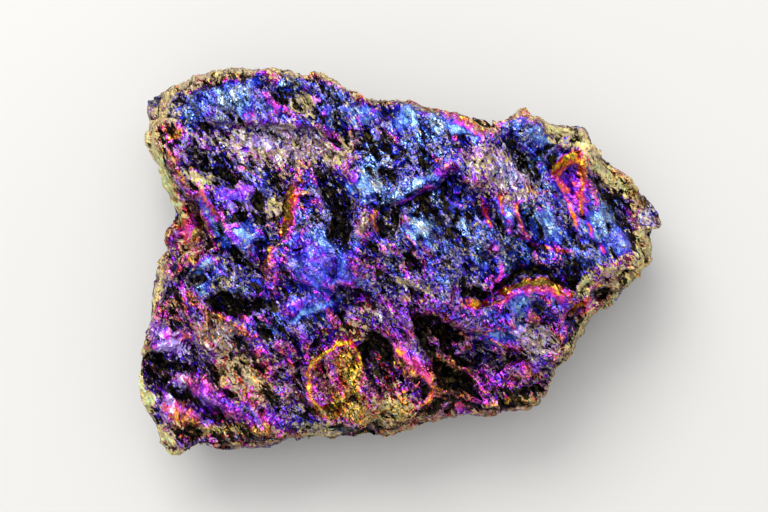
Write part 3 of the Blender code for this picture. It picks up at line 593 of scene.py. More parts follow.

# A patch's `dark` is mostly painted shade: black where hollows, pits, crevices and slopes lie in shade.
# Name, middle, half length and half width in millimetres, turn in degrees, and what it changes.
PATCHES = [
    ("violet south", (-4, -17), (40, 13), -3, {"film": 0.54, "dark": 0.42}),
    ("right blue", (12, 14), (16, 12), -12, {"film": 0.73, "dark": 0.36, "crust": 0.16}),
    ("far right blue", (32, 4), (6, 8), 30, {"film": 0.70, "dark": 0.42}),
    ("plateau", (-23, 25), (13, 4.6), -4, {"film": 0.68, "dark": 0.42, "crust": 0.12}),
    ("plateau sky, left", (-33.4, 22.4), (2.2, 2.8), -60, {"spread": 0.9, "film": 0.75, "dark": 0.35}),
    ("plateau sky, middle", (-27, 25.4), (3.2, 2.2), -30, {"spread": 0.9, "film": 0.74, "dark": 0.35}),
    ("plateau royal", (-21.4, 24), (3.8, 3.0), -60, {"spread": 0.8, "film": 0.62, "dark": 0.35}),
    ("plateau lilac", (-23.4, 28.4), (1.5, 0.9), 10, {"spread": 0.3, "film": 0.74, "dark": 0.0}),
    ("plateau sky, right", (-18.2, 28.2), (2.2, 1.6), -20, {"film": 0.86, "dark": 0.2}),
    ("plateau pink", (-20.4, 28.8), (1.0, 1.5), 0, {"film": 0.33, "dark": 0.1}),
    ("plateau tan", (-15.6, 24.2), (2.6, 1.5), -40, {"crust": 0.75, "tone": 0.5}),
    ("notch shadow", (-12.0, 22.6), (1.0, 4.4), 5, {"dark": 0.85}),
    ("grey shelf", (-20.4, 18.0), (12, 3.4), -8,
     {"film": 0.5, "pale": 0.52, "crust": 0.45, "tone": 0.35, "dark": 0.16}),
    ("white shelf", (-21.4, 19.2), (2.2, 1.2), -15,
     {"spread": 0.8, "film": 0.92, "pale": 0.62, "crust": 0.1, "dark": 0.15}),
    ("rose shelf", (-12.8, 17.6), (2.0, 1.5), 0,
     {"film": 0.36, "pale": 0.5, "crust": 0.45, "tone": 0.1, "dark": 0.1}),
    ("dun shelf", (-9.8, 17.4), (1.8, 1.5), 0, {"crust": 0.7, "tone": 0.5, "dark": 0.3}),
    ("violet slope", (-27, 10.5), (8, 4.6), -45, {"film": 0.62, "dark": 0.85}),
    ("violet chip, left", (-26.8, 10.5), (1.6, 1.3), -30, {"spread": 0.3, "film": 0.58, "dark": 0.05}),
    ("violet chip, right", (-24.6, 11.0), (1.2, 1.3), -30, {"spread": 0.3, "film": 0.52, "dark": 0.1}),
    ("violet horn", (-17.7, 14.4), (1.8, 2.2), 0, {"film": 0.50, "dark": 0.1}),
    ("dun lumps", (-20.4, 8.8), (1.8, 1.5), 0, {"crust": 0.6, "tone": 0.45}),
    ("sky triangle", (-25.2, 3.6), (3.4, 1.9), 10, {"spread": 0.35, "film": 0.72, "dark": 0.06}),
    ("sky edge", (-29.8, 7.0), (3.2, 0.9), -50, {"spread": 0.4, "film": 0.84, "dark": 0.12}),
    ("flake edge", (-31.5, 10.6), (2.0, 0.6), -58, {"spread": 0.3, "film": 0.30, "dark": 0.0}),
    ("citron shoulder", (-32.0, 13.0), (2.2, 1.5), -30, {"crust": 0.7, "tone": 0.8, "dark": 0.35}),
    ("bronze cleft", (-32.2, 6.0), (3.6, 1.2), -62, {"film": 0.12, "dark": 0.5, "crust": 0.35, "tone": 0.2}),
    ("plum cleft", (-29.9, 2.8), (2.4, 1.2), -45, {"film": 0.44, "dark": 0.6}),
    ("left wall", (-37.0, 18.0), (2.2, 6.6), 8, {"film": 0.38, "dark": 0.85, "crust": 0.3, "tone": 0.3}),
    ("corner crust", (-37.6, 24.4), (2.6, 3.4), 20, {"crust": 0.62, "tone": 0.45, "dark": 0.35}),
    ("left wall gold", (-36.0, 18.8), (0.5, 1.6), -20, {"film": 0.12, "dark": 0.1, "crust": 0.1}),
    ("pink flake", (-34.6, 5.4), (1.5, 3.8), -4, {"spread": 0.3, "film": 0.43, "dark": 0.12, "crust": 0.05}),
    ("slate corner", (-37.5, 5.0), (1.4, 2.2), 0, {"dark": 0.8, "crust": 0.35, "tone": 0.0}),
    ("middle canyon", (-9.9, 6.2), (1.7, 4.8), 12, {"dark": 1.15}),
    ("navy hollow", (-12.8, 9.2), (3.0, 2.2), -10, {"film": 0.70, "dark": 0.66}),
    ("rose pebble", (-6.0, 6.0), (1.4, 2.4), 12,
     {"film": 0.36, "pale": 0.5, "crust": 0.5, "tone": 0.15, "dark": 0.05}),
    ("middle dark", (-2.0, 4.0), (3.4, 2.6), -30, {"dark": 0.66, "crust": 0.3, "tone": 0.35}),
    ("sky, upper middle", (-5.0, 22.6), (2.0, 1.3), -20, {"film": 0.84, "dark": 0.15, "spread": 0.5}),
    ("sky, middle", (-5.6, 11.4), (2.6, 1.6), -20, {"spread": 0.5, "film": 0.86, "dark": 0.15}),
    ("magenta streak", (-7.6, 13.8), (0.9, 2.6), 10, {"film": 0.44, "dark": 0.3}),
    ("navy field", (-4.6, 15.2), (2.4, 3.6), 15, {"film": 0.74, "dark": 0.8}),
    ("top dark", (4.6, 23.8), (5.4, 1.4), -12, {"dark": 0.66, "crust": 0.3, "tone": 0.3}),
    ("sky, top left", (0.8, 21.6), (1.6, 1.8), -30, {"film": 0.84, "dark": 0.15, "spread": 0.5}),
    ("sky, top right", (9.0, 21.0), (3.2, 1.2), -20, {"film": 0.83, "dark": 0.15, "spread": 0.5}),
    ("sky, brink", (2.6, 12.2), (3.0, 1.1), 20, {"spread": 0.5, "film": 0.85, "dark": 0.2}),
    ("saddle pink", (12.6, 21.2), (1.8, 1.0), -35, {"film": 0.34, "dark": 0.15, "crust": 0.3}),
    ("lilac field", (15.0, 14.0), (6.4, 4.4), -35,
     {"film": 0.5, "pale": 0.48, "crust": 0.48, "tone": 0.4, "dark": 0.18}),
    ("lilac heart", (17.2, 13.0), (2.2, 1.6), -10,
     {"spread": 0.9, "film": 0.90, "pale": 0.62, "crust": 0.1, "dark": 0.1}),
    ("blue centre", (8.0, 8.7), (2.0, 1.5), -30, {"film": 0.74, "dark": 0.2, "spread": 0.6}),
    ("dark centre", (4.4, 7.6), (4.4, 2.6), -35, {"film": 0.71, "dark": 0.8}),
    ("sky, low centre", (2.4, 4.6), (2.4, 1.2), 0, {"film": 0.86, "dark": 0.15, "spread": 0.5}),
    ("peak facet", (18.0, 22.2), (1.6, 0.8), 40, {"spread": 0.3, "film": 0.88, "pale": 0.6, "dark": 0.0}),
    ("cyan patch", (22.4, 19.4), (1.9, 0.9), -15, {"spread": 0.25, "film": 0.93, "dark": 0.05}),
    ("striped sky", (21.0, 15.8), (3.2, 2.4), -30, {"film": 0.85, "dark": 0.4, "spread": 0.6}),
    ("north-east crust", (26.2, 19.6), (3.8, 2.2), -25,
     {"crust": 0.66, "tone": 0.45, "dark": 0.3, "pale": 0.3}),
    ("scoop", (26.9, 12.2), (2.5, 4.3), 12, {"spread": 0.45, "film": 0.5, "dark": 0.14, "crust": 0.0}),
    ("plum flake", (29.2, 17.6), (1.2, 1.8), 0, {"spread": 0.4, "film": 0.49, "dark": 0.1}),
    ("east shadow", (33.4, 9.4), (1.8, 5.4), 38, {"dark": 0.75, "crust": 0.2}),
    ("east cyan", (31.8, 6.4), (2.8, 2.0), -10, {"film": 0.88, "dark": 0.15, "spread": 0.5}),
    ("east royal", (34.0, 2.6), (2.9, 2.0), -30, {"spread": 0.5, "film": 0.69, "dark": 0.25}),
    ("rib sky", (17.0, 7.0), (1.9, 1.3), -20, {"spread": 0.5, "film": 0.87, "dark": 0.25}),
    ("rib blue", (22.4, 5.6), (2.4, 1.8), -40, {"spread": 0.5, "film": 0.79, "dark": 0.25}),
    ("brown bank", (9.8, 4.8), (3.0, 1.3), -10, {"crust": 0.35, "tone": 0.25, "dark": 0.55}),
    ("violet bank", (14.0, 1.8), (1.7, 1.4), 0, {"film": 0.53, "dark": 0.2}),
    ("lilac chip", (18.4, 3.8), (1.3, 0.5), -15, {"spread": 0.3, "film": 0.42, "pale": 0.5, "dark": 0.0}),
    ("orange lumps", (-33.8, 1.4), (2.2, 2.2), 0, {"film": 0.26, "crust": 0.45, "tone": 0.3, "dark": 0.15}),
    ("west violet", (-35.8, -1.8), (2.2, 2.2), 0, {"film": 0.62, "dark": 0.3}),
    ("west sky ridge", (-31.6, -0.8), (2.2, 0.6), 35, {"spread": 0.3, "film": 0.86, "dark": 0.0}),
    ("west magenta", (-35.0, -6.8), (2.6, 2.4), -40, {"film": 0.37, "dark": 0.5}),
    ("dun bank", (-27.8, -3.6), (2.0, 1.5), 0, {"crust": 0.55, "tone": 0.6, "dark": 0.4}),
    ("bank blue", (-23.4, -3.4), (2.6, 1.6), 0, {"film": 0.74, "dark": 0.35}),
    ("west pit", (-26.2, -6.8), (4.8, 1.9), -4, {"dark": 1.3, "crust": 0.0, "pale": 0.0}),
    ("magenta fan", (-19.4, -1.2), (2.6, 2.8), 0, {"film": 0.55, "dark": 0.28}),
    ("blue face", (-12.6, -1.6), (4.0, 5.2), 25,
     {"spread": 0.6, "film": 0.62, "dark": 0.2, "crust": 0.06, "pale": 0.02}),
    ("blue brow", (-13.4, -9.0), (2.8, 1.7), 25, {"film": 0.72, "dark": 0.2, "crust": 0.1}),
    ("blue magenta", (-5.6, -1.2), (3.0, 2.6), -20, {"film": 0.58, "dark": 0.25}),
    ("violet flake", (-16.2, -6.8), (1.4, 1.0), -30, {"spread": 0.3, "film": 0.62, "dark": 0.12}),
    ("navy slope", (-21.2, -9.6), (2.9, 2.2), -45, {"film": 0.72, "dark": 0.85}),
    ("rose granules", (-29.2, -12.4), (2.9, 2.5), -20,
     {"film": 0.40, "pale": 0.45, "crust": 0.5, "tone": 0.2, "dark": 0.28}),
    ("crimson spot", (-29.4, -9.4), (1.0, 1.3), 0, {"film": 0.35, "dark": 0.15}),
    ("lilac flake", (-37.0, -13.2), (2.9, 2.0), -20,
     {"spread": 0.25, "film": 0.47, "pale": 0.6, "dark": 0.12, "crust": 0.0}),
    ("purple field", (-31.2, -19.6), (2.4, 4.4), 28,
     {"film": 0.48, "dark": 0.16, "crust": 0.1, "spread": 0.7}),
    ("purple sweep", (-29.8, -23.6), (9.0, 1.9), -10,
     {"film": 0.46, "dark": 0.26, "crust": 0.1, "spread": 0.7}),
    ("lilac chips", (-35.6, -19.6), (1.6, 1.3), -30,
     {"spread": 0.25, "film": 0.50, "pale": 0.6, "dark": 0.15}),
    ("rim shadow", (-38.4, -16.8), (2.9, 1.4), -15, {"dark": 1.3}),
    ("lower pit", (-35.5, -21.6), (2.5, 0.9), -15, {"dark": 0.92}),
    ("pink shelf", (-37.0, -23.0), (2.2, 1.1), -40, {"spread": 0.3, "film": 0.36, "pale": 0.5, "dark": 0.15}),
    ("dun granules", (-25.4, -18.2), (4.0, 3.0), -25,
     {"film": 0.2, "crust": 0.55, "tone": 0.35, "dark": 0.32}),
    ("violet stripes", (-17.9, -15.0), (1.6, 3.6), 22, {"film": 0.50, "dark": 0.42}),
    ("black notch", (-20.2, -19.6), (1.3, 1.8), 20, {"dark": 0.8}),
    ("mauve granules", (-17.0, -20.8), (1.9, 2.2), 0,
     {"film": 0.44, "crust": 0.3, "pale": 0.25, "dark": 0.25}),
    ("loop magenta", (-12.4, -18.6), (2.0, 3.8), 0,
     {"film": 0.34, "spread": 1.5, "dark": 0.22, "crust": 0.05}),
    ("loop gold", (-8.4, -18.8), (2.3, 6.4), 0,
     {"film": 0.18, "spread": 1.6, "dark": 0.16, "crust": 0.0, "tone": 0.6}),
    ("loop foot", (-9.6, -23.6), (3.4, 2.0), 5,
     {"film": 0.15, "spread": 1.5, "dark": 0.18, "crust": 0.12, "tone": 0.7}),
    ("umber hollow", (-2.8, -14.2), (3.6, 2.6), -25, {"film": 0.40, "dark": 0.85, "crust": 0.2, "tone": 0.1}),
    ("magenta scree", (-3.4, -18.6), (2.6, 2.6), -40, {"film": 0.38, "dark": 0.42}),
    ("gold scree", (-2.0, -24.4), (5.2, 3.2), 5,
     {"film": 0.20, "spread": 1.6, "crust": 0.45, "tone": 0.6, "dark": 0.26, "pale": 0.2}),
    ("lilac granules", (-3.8, -7.8), (2.2, 1.9), -20,
     {"film": 0.46, "pale": 0.4, "crust": 0.35, "tone": 0.2, "dark": 0.15}),
    ("dun bench", (-7.4, -11.0), (2.2, 1.9), -20, {"crust": 0.5, "tone": 0.55, "dark": 0.3, "film": 0.3}),
    ("navy middle", (4.0, -1.6), (7.0, 3.6), -15, {"film": 0.64, "dark": 0.5}),
    ("blue band", (20.6, -0.8), (5.4, 2.6), -15, {"film": 0.71, "dark": 0.24, "crust": 0.12}),
    ("under the ledge", (16.4, -8.2), (7.4, 3.2), 20,
     {"film": 0.62, "dark": 0.17, "crust": 0.08, "pale": 0.0}),
    ("ledge sky", (18.4, -6.6), (1.9, 1.9), 0, {"spread": 0.5, "film": 0.82, "dark": 0.15}),
    ("shadow hollow", (27.2, -3.0), (1.9, 2.3), -20, {"dark": 1.3, "crust": 0.0}),
    ("citron breccia", (29.4, -4.2), (1.6, 2.1), -30, {"crust": 0.92, "tone": 0.85, "dark": 0.2}),
    ("breccia dark", (32.4, -5.0), (1.9, 1.4), 0, {"film": 0.46, "dark": 0.72, "crust": 0.1}),
    ("breccia rim", (34.6, -1.6), (5.0, 2.2), 22, {"crust": 0.55, "tone": 0.5, "film": 0.4, "dark": 0.35}),
    ("magenta wedge", (30.4, -7.4), (1.9, 1.1), 25, {"spread": 0.4, "film": 0.42, "dark": 0.12}),
    ("plum bank", (25.4, -9.0), (3.4, 1.4), 15, {"film": 0.53, "dark": 0.5, "crust": 0.1}),
    ("lilac bench", (21.4, -12.8), (3.2, 2.7), -15,
     {"film": 0.45, "pale": 0.6, "crust": 0.42, "tone": 0.35, "dark": 0.15}),
    ("white chip", (17.4, -10.8), (1.3, 0.8), 0, {"spread": 0.3, "film": 0.92, "pale": 0.9, "dark": 0.05}),
    ("bench sky", (14.6, -12.2), (1.6, 0.7), 0, {"spread": 0.4, "film": 0.86, "dark": 0.1}),
    ("drill pit", (9.3, -12.3), (0.9, 0.9), 0, {"dark": 1.0, "crust": 0.0}),
    ("black triangle", (4.8, -10.8), (3.2, 2.5), -20, {"film": 0.56, "dark": 1.15}),
    ("scarp face", (2.8, -17.2), (1.3, 4.6), 38, {"film": 0.36, "dark": 0.3}),
    ("umber slope", (7.8, -19.2), (5.2, 3.4), -25, {"film": 0.30, "dark": 1.15, "crust": 0.22, "tone": 0.15}),
    ("violet band", (16.0, -15.8), (6.0, 1.9), -18, {"film": 0.54, "dark": 0.34}),
    ("magenta toe", (19.4, -18.8), (2.7, 1.7), 10, {"film": 0.43, "dark": 0.2}),
    ("slate toe", (19.4, -20.8), (3.0, 1.0), 5, {"dark": 1.1, "crust": 0.4, "tone": 0.0, "film": 0.5}),
    ("bronze toe", (17.8, -22.6), (4.8, 1.4), 4, {"film": 0.12, "crust": 0.4, "tone": 0.3, "dark": 0.9}),
    ("pink chip", (9.6, -22.2), (1.1, 0.9), 0, {"spread": 0.3, "film": 0.34, "dark": 0.05}),
    ("lilac sliver", (6.2, -22.2), (1.2, 0.5), 20, {"spread": 0.2, "film": 0.45, "pale": 0.4, "dark": 0.0}),
    ("pale lens", (1.8, -4.0), (2.6, 0.9), -14, {"pale": 0.6, "crust": 0.5, "tone": 0.5, "dark": 0.12}),
    ("south strip", (-28.0, -27.2), (11.0, 1.2), -2,
     {"film": 0.16, "crust": 0.45, "tone": 0.55, "dark": 0.48}),
    ("south black", (-10.4, -26.8), (6.4, 1.0), 0, {"film": 0.72, "dark": 0.66, "crust": 0.25, "tone": 0.9}),
]


def patch_weight(places, middle, halves, turn):
    """1 inside an oval, falling to 0 outside it: 1 / (1 + q to the sixth), q the distance in half widths."""
    along = bearing_vector(turn)[:2]
    offset = places - np.array(middle)
    u, v = offset @ along, offset @ np.array([-along[1], along[0]])
    return 1 / (1 + ((u / halves[0]) ** 2 + (v / halves[1]) ** 2) ** 3)


# Cracks and the painted shade of valleys darken the stone too, so it gets this share of the dark that a patch
# names.
DARK_SHARE = 0.66
# How much the patches' edges wander: height in millimetres, size of the noise, and a number of its own.
WANDER = [(1.1, 3.6, 201), (0.5, 1.2, 202)]


def lay(patches):
    """Each mark goes towards the patch's value by the patch's weight, one patch after another."""
    for _, middle, halves, turn, changes in patches:
        weight = patch_weight(plan, middle, halves, turn)
        for field, value in changes.items():
            value = DARK_SHARE * value if field == "dark" else value
            marks[field] += weight * (value - marks[field])


plan = points[:, :2] + noise_offsets(WANDER, 2)
marks = {field: np.full(len(points), BARE[field]) for field in FIELDS}
lay(PATCHES)
print("patches:", len(PATCHES))

# %% Threads along the brinks
THREAD_SPREAD = 0.35
THREAD_DRIFT = 0.25  # the share of the patches' wander that threads follow
THREAD_EDGE, THREAD_RISE = 6, 8  # how sharply a thread ends at its sides, and at its two ends
# Name, path, half width in millimetres, film colour, share of dark.
THREADS = [
    ("golden ledge", LEDGES["golden ledge"][0], 0.52, 0.055, 0.0),
    ("golden ledge shadow", FURROWS["golden crevice"][0], 0.45, 0.6, 1.0),
    ("ledge magenta", [(26.4, -7.4), (23.2, -4.9), (19.6, -4.5), (16.6, -5.8), (14.0, -7.4)], 0.5, 0.40, 0.0),
    ("pink brink", [(-2.3, 8.0), (0.6, 9.2), (3.3, 10.6), (5.7, 11.6), (7.3, 13.2), (9.2, 14.2)],
     0.25, 0.41, 0.0),
    ("yellow brink", [(-17.4, 12.4), (-17.6, 10.2), (-18.2, 8.0), (-18.4, 5.6), (-19.2, 3.4)],
     0.55, 0.055, 0.0),
    ("pink brink, left", [(-16.6, 11.4), (-16.9, 9.2), (-17.3, 7.0), (-17.2, 4.6)], 0.5, 0.30, 0.0),
    ("yellow brink foot", [(-19.2, 3.2), (-21.0, 1.2), (-21.9, -0.6), (-21.6, -3.6)], 0.3, 0.07, 0.1),
    ("loop line", [(-11.0, -14.4), (-13.8, -15.6), (-14.6, -18.4), (-14.2, -21.6), (-12.4, -24.6)],
     0.32, 0.06, 0.0),
    ("loop crown", [(-14.0, -15.4), (-11.0, -14.2), (-8.4, -12.6), (-6.8, -14.2), (-6.0, -17.6)],
     0.32, 0.07, 0.1),
    ("scoop gold", [(23.9, 13.0), (24.2, 14.8), (26.0, 16.0), (28.2, 17.0)], 0.45, 0.04, 0.1),
    ("scoop orange", [(24.6, 12.8), (25.2, 14.6), (27.2, 15.6), (29.2, 15.0)], 0.28, 0.18, 0.0),
    ("red rib", [(28.0, 16.0), (28.6, 12.6), (28.2, 9.6), (27.6, 6.6)], 0.30, 0.22, 0.1),
    ("red rib, west", [(25.0, 11.4), (26.2, 8.6), (27.2, 5.4), (27.6, 2.8)], 0.30, 0.235, 0.1),
    ("red rib, east", [(28.8, 6.4), (29.8, 4.0), (31.2, 2.2), (31.7, 0.6)], 0.30, 0.235, 0.1),
    ("short rib west", FURROWS["short rib west"][0], 0.35, 0.26, 0.0),
    ("short rib middle", FURROWS["short rib middle"][0], 0.30, 0.24, 0.1),
    ("short rib east", FURROWS["short rib east"][0], 0.38, 0.24, 0.0),
    ("rust seam", [(17.4, 4.0), (20.6, 2.6), (23.6, 1.8), (27.0, 1.4)], 0.32, 0.22, 0.2),
    ("gold seam", [(26.2, -8.8), (28.0, -7.0), (30.2, -5.8)], 0.35, 0.10, 0.0),
    ("rose seam", [(14.9, 0.2), (15.6, -1.2), (15.2, -2.8), (14.4, -3.6)], 0.35, 0.37, 0.0),
    ("scarp rim", [(-0.6, -13.8), (1.6, -15.8), (3.4, -18.2), (5.2, -20.2)], 0.5, 0.36, 0.0),
    ("scarp orange", [(-0.8, -13.6), (0.2, -14.6)], 0.6, 0.2, 0.0),
    ("scarp gold", [(5.0, -19.6), (4.2, -21.4), (3.6, -23.4)], 0.5, 0.17, 0.0),
    ("sky brow", [(-18.0, -10.2), (-15.6, -8.6), (-12.0, -7.0), (-8.6, -5.2)], 0.45, 0.86, 0.0),
    ("pebble rim", [(-4.3, 8.0), (-4.0, 6.2), (-3.6, 4.2)], 0.35, 0.08, 0.0),
    ("black seam", [(-13.2, 25.6), (-12.6, 22.6), (-11.4, 19.4), (-9.8, 16.8)], 0.45, 0.6, 0.95),
]
thread_places = points[:, :2] + ragged + THREAD_DRIFT * (plan - points[:, :2])
# A thread is whole where this is 1 and gone where it is 0.
broken = np.clip(1.1 + 0.9 * smooth_noise(points, 1.5, 211) + 0.7 * smooth_noise(points, 0.6, 212), 0, 1)
for _, path, half_width, film, dark in THREADS:
    gap, share = path_distance(thread_places, path)
    ends = np.clip(THREAD_RISE * np.minimum(share, 1 - share), 0, 1)
    weight = 1 / (1 + (gap / half_width) ** THREAD_EDGE) * ends * broken
    for field, value in (
        ("film", film), ("spread", THREAD_SPREAD), ("dark", dark), ("pale", 0.0), ("crust", 0.0)
    ):
        marks[field] += weight * (value - marks[field])
print("threads:", len(THREADS))

# %% [markdown]
# ## Rim and flanks
# Along the rim the bright film gives way to a stony crust: tan on the upper edge, citron on both ends. The
# flanks and the underside are the vein's own rock, grey-lilac and olive, with only hints of colour. The rim
# is found from the outline again: how far inside it a point lies, against the crust's width at its bearing.

# %% The crust by bearing, and the flanks
# Bearing in degrees, width of the rim's crust in millimetres, its share, and its tone.
RIM_CRUST = [
    (-120, 1.2, 0.5, 0.5), (-100, 1.2, 0.5, 0.7), (-60, 0.8, 0.45, 0.4), (-40, 0.9, 0.5, 0.6),
    (-20, 1.4, 0.6, 0.7), (0, 1.6, 0.62, 0.7), (8, 4.2, 0.7, 0.7), (20, 4.4, 0.75, 0.75),
    (32, 2.8, 0.7, 0.65), (45, 2.0, 0.7, 0.55), (58, 1.0, 0.4, 0.5), (85, 0.8, 0.35, 0.4),
    (103, 1.0, 0.6, 0.5), (118, 1.2, 0.7, 0.45), (140, 2.0, 0.7, 0.45), (150, 3.0, 0.6, 0.7),
    (165, 3.2, 0.6, 0.85), (176, 1.2, 0.3, 0.3), (186, 1.8, 0.85, 0.7), (198, 1.2, 0.8, 0.7),
    (206, 0.8, 0.6, 0.1), (217, 1.0, 0.85, 0.95), (225, 1.2, 0.5, 0.5),
]
RIM_SAMPLES = 1440
RIM_SOFTNESS = 0.35  # millimetres over which the crust gives way to the film
FLANK_START = 0.35  # share of the upper relief below which a point belongs to the flank

table = np.array(RIM_CRUST)
bearing = np.degrees(np.arctan2(plan[:, 1], plan[:, 0]))
crust_width, crust_share, crust_tone = (
    np.interp(bearing, table[:, 0], table[:, i], period=360) for i in (1, 2, 3)
)
edge = outline_places(np.linspace(0, 1, RIM_SAMPLES + 1)[:-1])
edge_bearing = np.degrees(np.arctan2(edge[:, 1], edge[:, 0]))
order = np.argsort(edge_bearing)
edge_radius = np.linalg.norm(edge, axis=1)[order]
reach = np.interp(bearing, edge_bearing[order], edge_radius, period=360)
inside = reach - np.linalg.norm(plan, axis=1)
rim_weight = 1 / (1 + np.exp((inside - crust_width) / RIM_SOFTNESS))
flank_weight = np.clip((FLANK_START - upper_share) / FLANK_START, 0, 1)

for field, value in (
    ("crust", crust_share), ("tone", crust_tone), ("pale", 0.06), ("film", 0.22), ("dark", 0.26)
):
    marks[field] += rim_weight * (value - marks[field])
veins = smooth_noise(points, 7.0, 221) + 0.5 * smooth_noise(points, 2.6, 222)
for field, value in (
    ("crust", 0.62 + 0.25 * veins), ("tone", 0.12 + 0.5 * np.clip(veins, 0, 1)), ("pale", 0.22),
    ("film", 0.55 - 0.2 * veins), ("dark", 0.42),
):
    marks[field] += flank_weight * (1 - 0.6 * rim_weight * (upper_share > 0)) * (value - marks[field])

print(f"share of points in the crust: {rim_weight.mean():.2f}, on the flanks: {flank_weight.mean():.2f}")

# %% Small patches by the rim
RIM_PATCHES = [
    ("tip facet", (39.8, 7.0), (2.0, 1.4), -30, {"pale": 0.55, "crust": 0.25, "dark": 0.4, "film": 0.9}),
    ("tip maroon", (36.8, 10.2), (2.4, 1.2), -45, {"film": 0.2, "dark": 0.35, "crust": 0.3, "tone": 0.5}),
    ("tip gold", (35.0, 13.4), (1.8, 0.7), -45, {"film": 0.10, "dark": 0.2, "crust": 0.3, "tone": 0.7}),
    ("west strip", (-38.6, 14.4), (6.5, 1.0), -73, {"crust": 0.85, "tone": 0.85, "dark": 0.2}),
    ("south-west strip", (-41.2, -21.0), (8.0, 0.6), -78, {"crust": 0.9, "tone": 0.98, "dark": 0.15}),
    ("lilac-grey matrix", (-27.0, -29.2), (10.0, 1.0), 2,
     {"pale": 0.35, "crust": 0.35, "tone": 0.05, "dark": 0.55}),
    ("south black, rim", (-9.0, -27.3), (5.5, 0.9), 0, {"dark": 1.1, "crust": 0.2, "tone": 0.9}),
    ("cream fragments", (-12.8, -27.0), (2.9, 0.8), 0, {"pale": 0.5, "crust": 0.7, "tone": 0.6, "dark": 0.3}),
]
lay(RIM_PATCHES)
print("patches by the rim:", len(RIM_PATCHES))

# %% [markdown]
# ## Valleys and ridges
# Valleys of every width are painted darker and their colours deeper, and crests lighter: painted shade and
# painted light for the way light falls into the relief. On sharp ridges the film is rubbed thin and goes pink
# and gold. Blender can bake such a map, but here the heights are on a grid, so we blur them: a point is in a
# valley where the blurred ground stands above the ground itself.

# %% Find the valleys


def blurred(values, cells):
    """Values on the upper sheet, averaged with a bell curve this many cells wide, along rows and columns."""
    grid = values.reshape(TOP_CELLS[1] + 1, TOP_CELLS[0] + 1)
    reach = 3 * cells
    bell = np.exp(-((np.arange(-reach, reach + 1) / cells) ** 2) / 2)
    for axis in (0, 1):
        padded = np.pad(grid, [(reach, reach) if i == axis else (0, 0) for i in (0, 1)], mode="edge")
        here = np.arange(grid.shape[axis])
        grid = sum(w * np.take(padded, here + i, axis=axis) for i, w in enumerate(bell / bell.sum()))
    return grid.ravel()


# Cells to blur over, cells blurred already, and the height in millimetres that counts as a full valley.
VALLEYS = {"narrow": (2, 0, 0.16), "broad": (5, 1, 0.30), "wide": (9, 2, 0.55)}
FLANK_VALLEY = 0.30  # off the upper sheet, how low the fine scars leave a full valley, in millimetres

on_top = slice(0, (TOP_CELLS[0] + 1) * (TOP_CELLS[1] + 1))
ground = points[on_top, 2]
valleys = {"narrow": -fine / FLANK_VALLEY, "broad": np.zeros(len(points)), "wide": np.zeros(len(points))}
for name, (cells, already, full) in VALLEYS.items():
    close_by = blurred(ground, already) if already else ground
    valleys[name][on_top] = (blurred(ground, cells) - close_by) / full
    print(name, "valleys:", np.percentile(valleys[name][on_top], [5, 50, 95]).round(2))
narrow, broad, wide = (np.clip(valley, -1, 1) for valley in valleys.values())

# %% Painted shade in valleys, painted light on ridges, and thin film on ridges
VALLEY_SHADE, RIDGE_LIGHT, DARKEST = 0.34, 0.24, 0.80
RIDGE_THINNING, THICKEST = 0.30, 0.90
THIN_FILM, THICK_FILM = 0.2, 0.58  # below the first the film looks golden, above the second blue

# Painted shade and light: valleys get a larger share of dark, ridges a smaller one.
valley = 0.6 * narrow + 0.4 * broad
shading = VALLEY_SHADE * np.clip(valley, 0, 1) - RIDGE_LIGHT * np.clip(-valley, 0, 1)
marks["dark"] += shading * np.clip(8 * marks["dark"], 0, 1)
marks["dark"] = np.minimum(marks["dark"], DARKEST)
# Painted shade: `depth` is above a half in valleys and below it on crests; the material deepens the film's
# colour by it.
marks["depth"] = 0.5 + 0.5 * (0.3 * narrow + 0.35 * broad + 0.35 * wide)

# On ridges the film is thinner, but only on some, chosen by a broad noise, and not where it is thin already.
# `sharp` is 0 on gentle ridges and 1 on the sharpest.
sharp = np.clip(1.6 * np.clip(-valleys["narrow"], 0, 1.2) - 0.7, 0, 1)
chosen = np.clip(0.5 + 1.2 * smooth_noise(points, 5.0, 241), 0, 1)
marks["film"] -= RIDGE_THINNING * sharp * chosen * np.clip(marks["film"] - THIN_FILM, 0, 0.5) / 0.5
marks["film"] += 0.035 * smooth_noise(points, 1.0, 231) + 0.05 * smooth_noise(points, 3.0, 232)

# Blue film is a little thicker than its patch says. On crests it goes further up the scale, towards pale sky:
# a painted highlight.
marks["film"] += 0.08 * np.clip((marks["film"] - THICK_FILM) / 0.08, 0, 1)
marks["film"] = np.minimum(marks["film"], THICKEST)
marks["film"] += 0.16 * np.clip(0.5 - marks["depth"], 0, 0.5) * (marks["film"] > THICK_FILM)
marks = {field: np.clip(values, 0, 1) for field, values in marks.items()}
print({field: round(float(values.mean()), 2) for field, values in marks.items()})

# %% Make the mesh


def make_mesh(name, points, quads, triangles):
    """Points in millimetres become metres; quads and triangles go in as they are, facing outwards."""
    mesh = bpy.data.meshes.new(name)
    mesh.from_pydata((points * MM).tolist(), [], quads.tolist() + triangles.tolist())
    mesh.validate()
    made = bpy.data.objects.new(name, mesh)
    bpy.context.scene.collection.objects.link(made)
    return made


stone = make_mesh("tarnished_stone", points, quads, triangles)
for field, values in marks.items():
    stone.data.attributes.new(field, "FLOAT", "POINT").data.foreach_set("value", values.astype(np.float32))
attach(stone, "root")
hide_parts(NODE)
stone.data.calc_loop_triangles()
print("tarnished_stone:", len(stone.data.loop_triangles), "triangles")
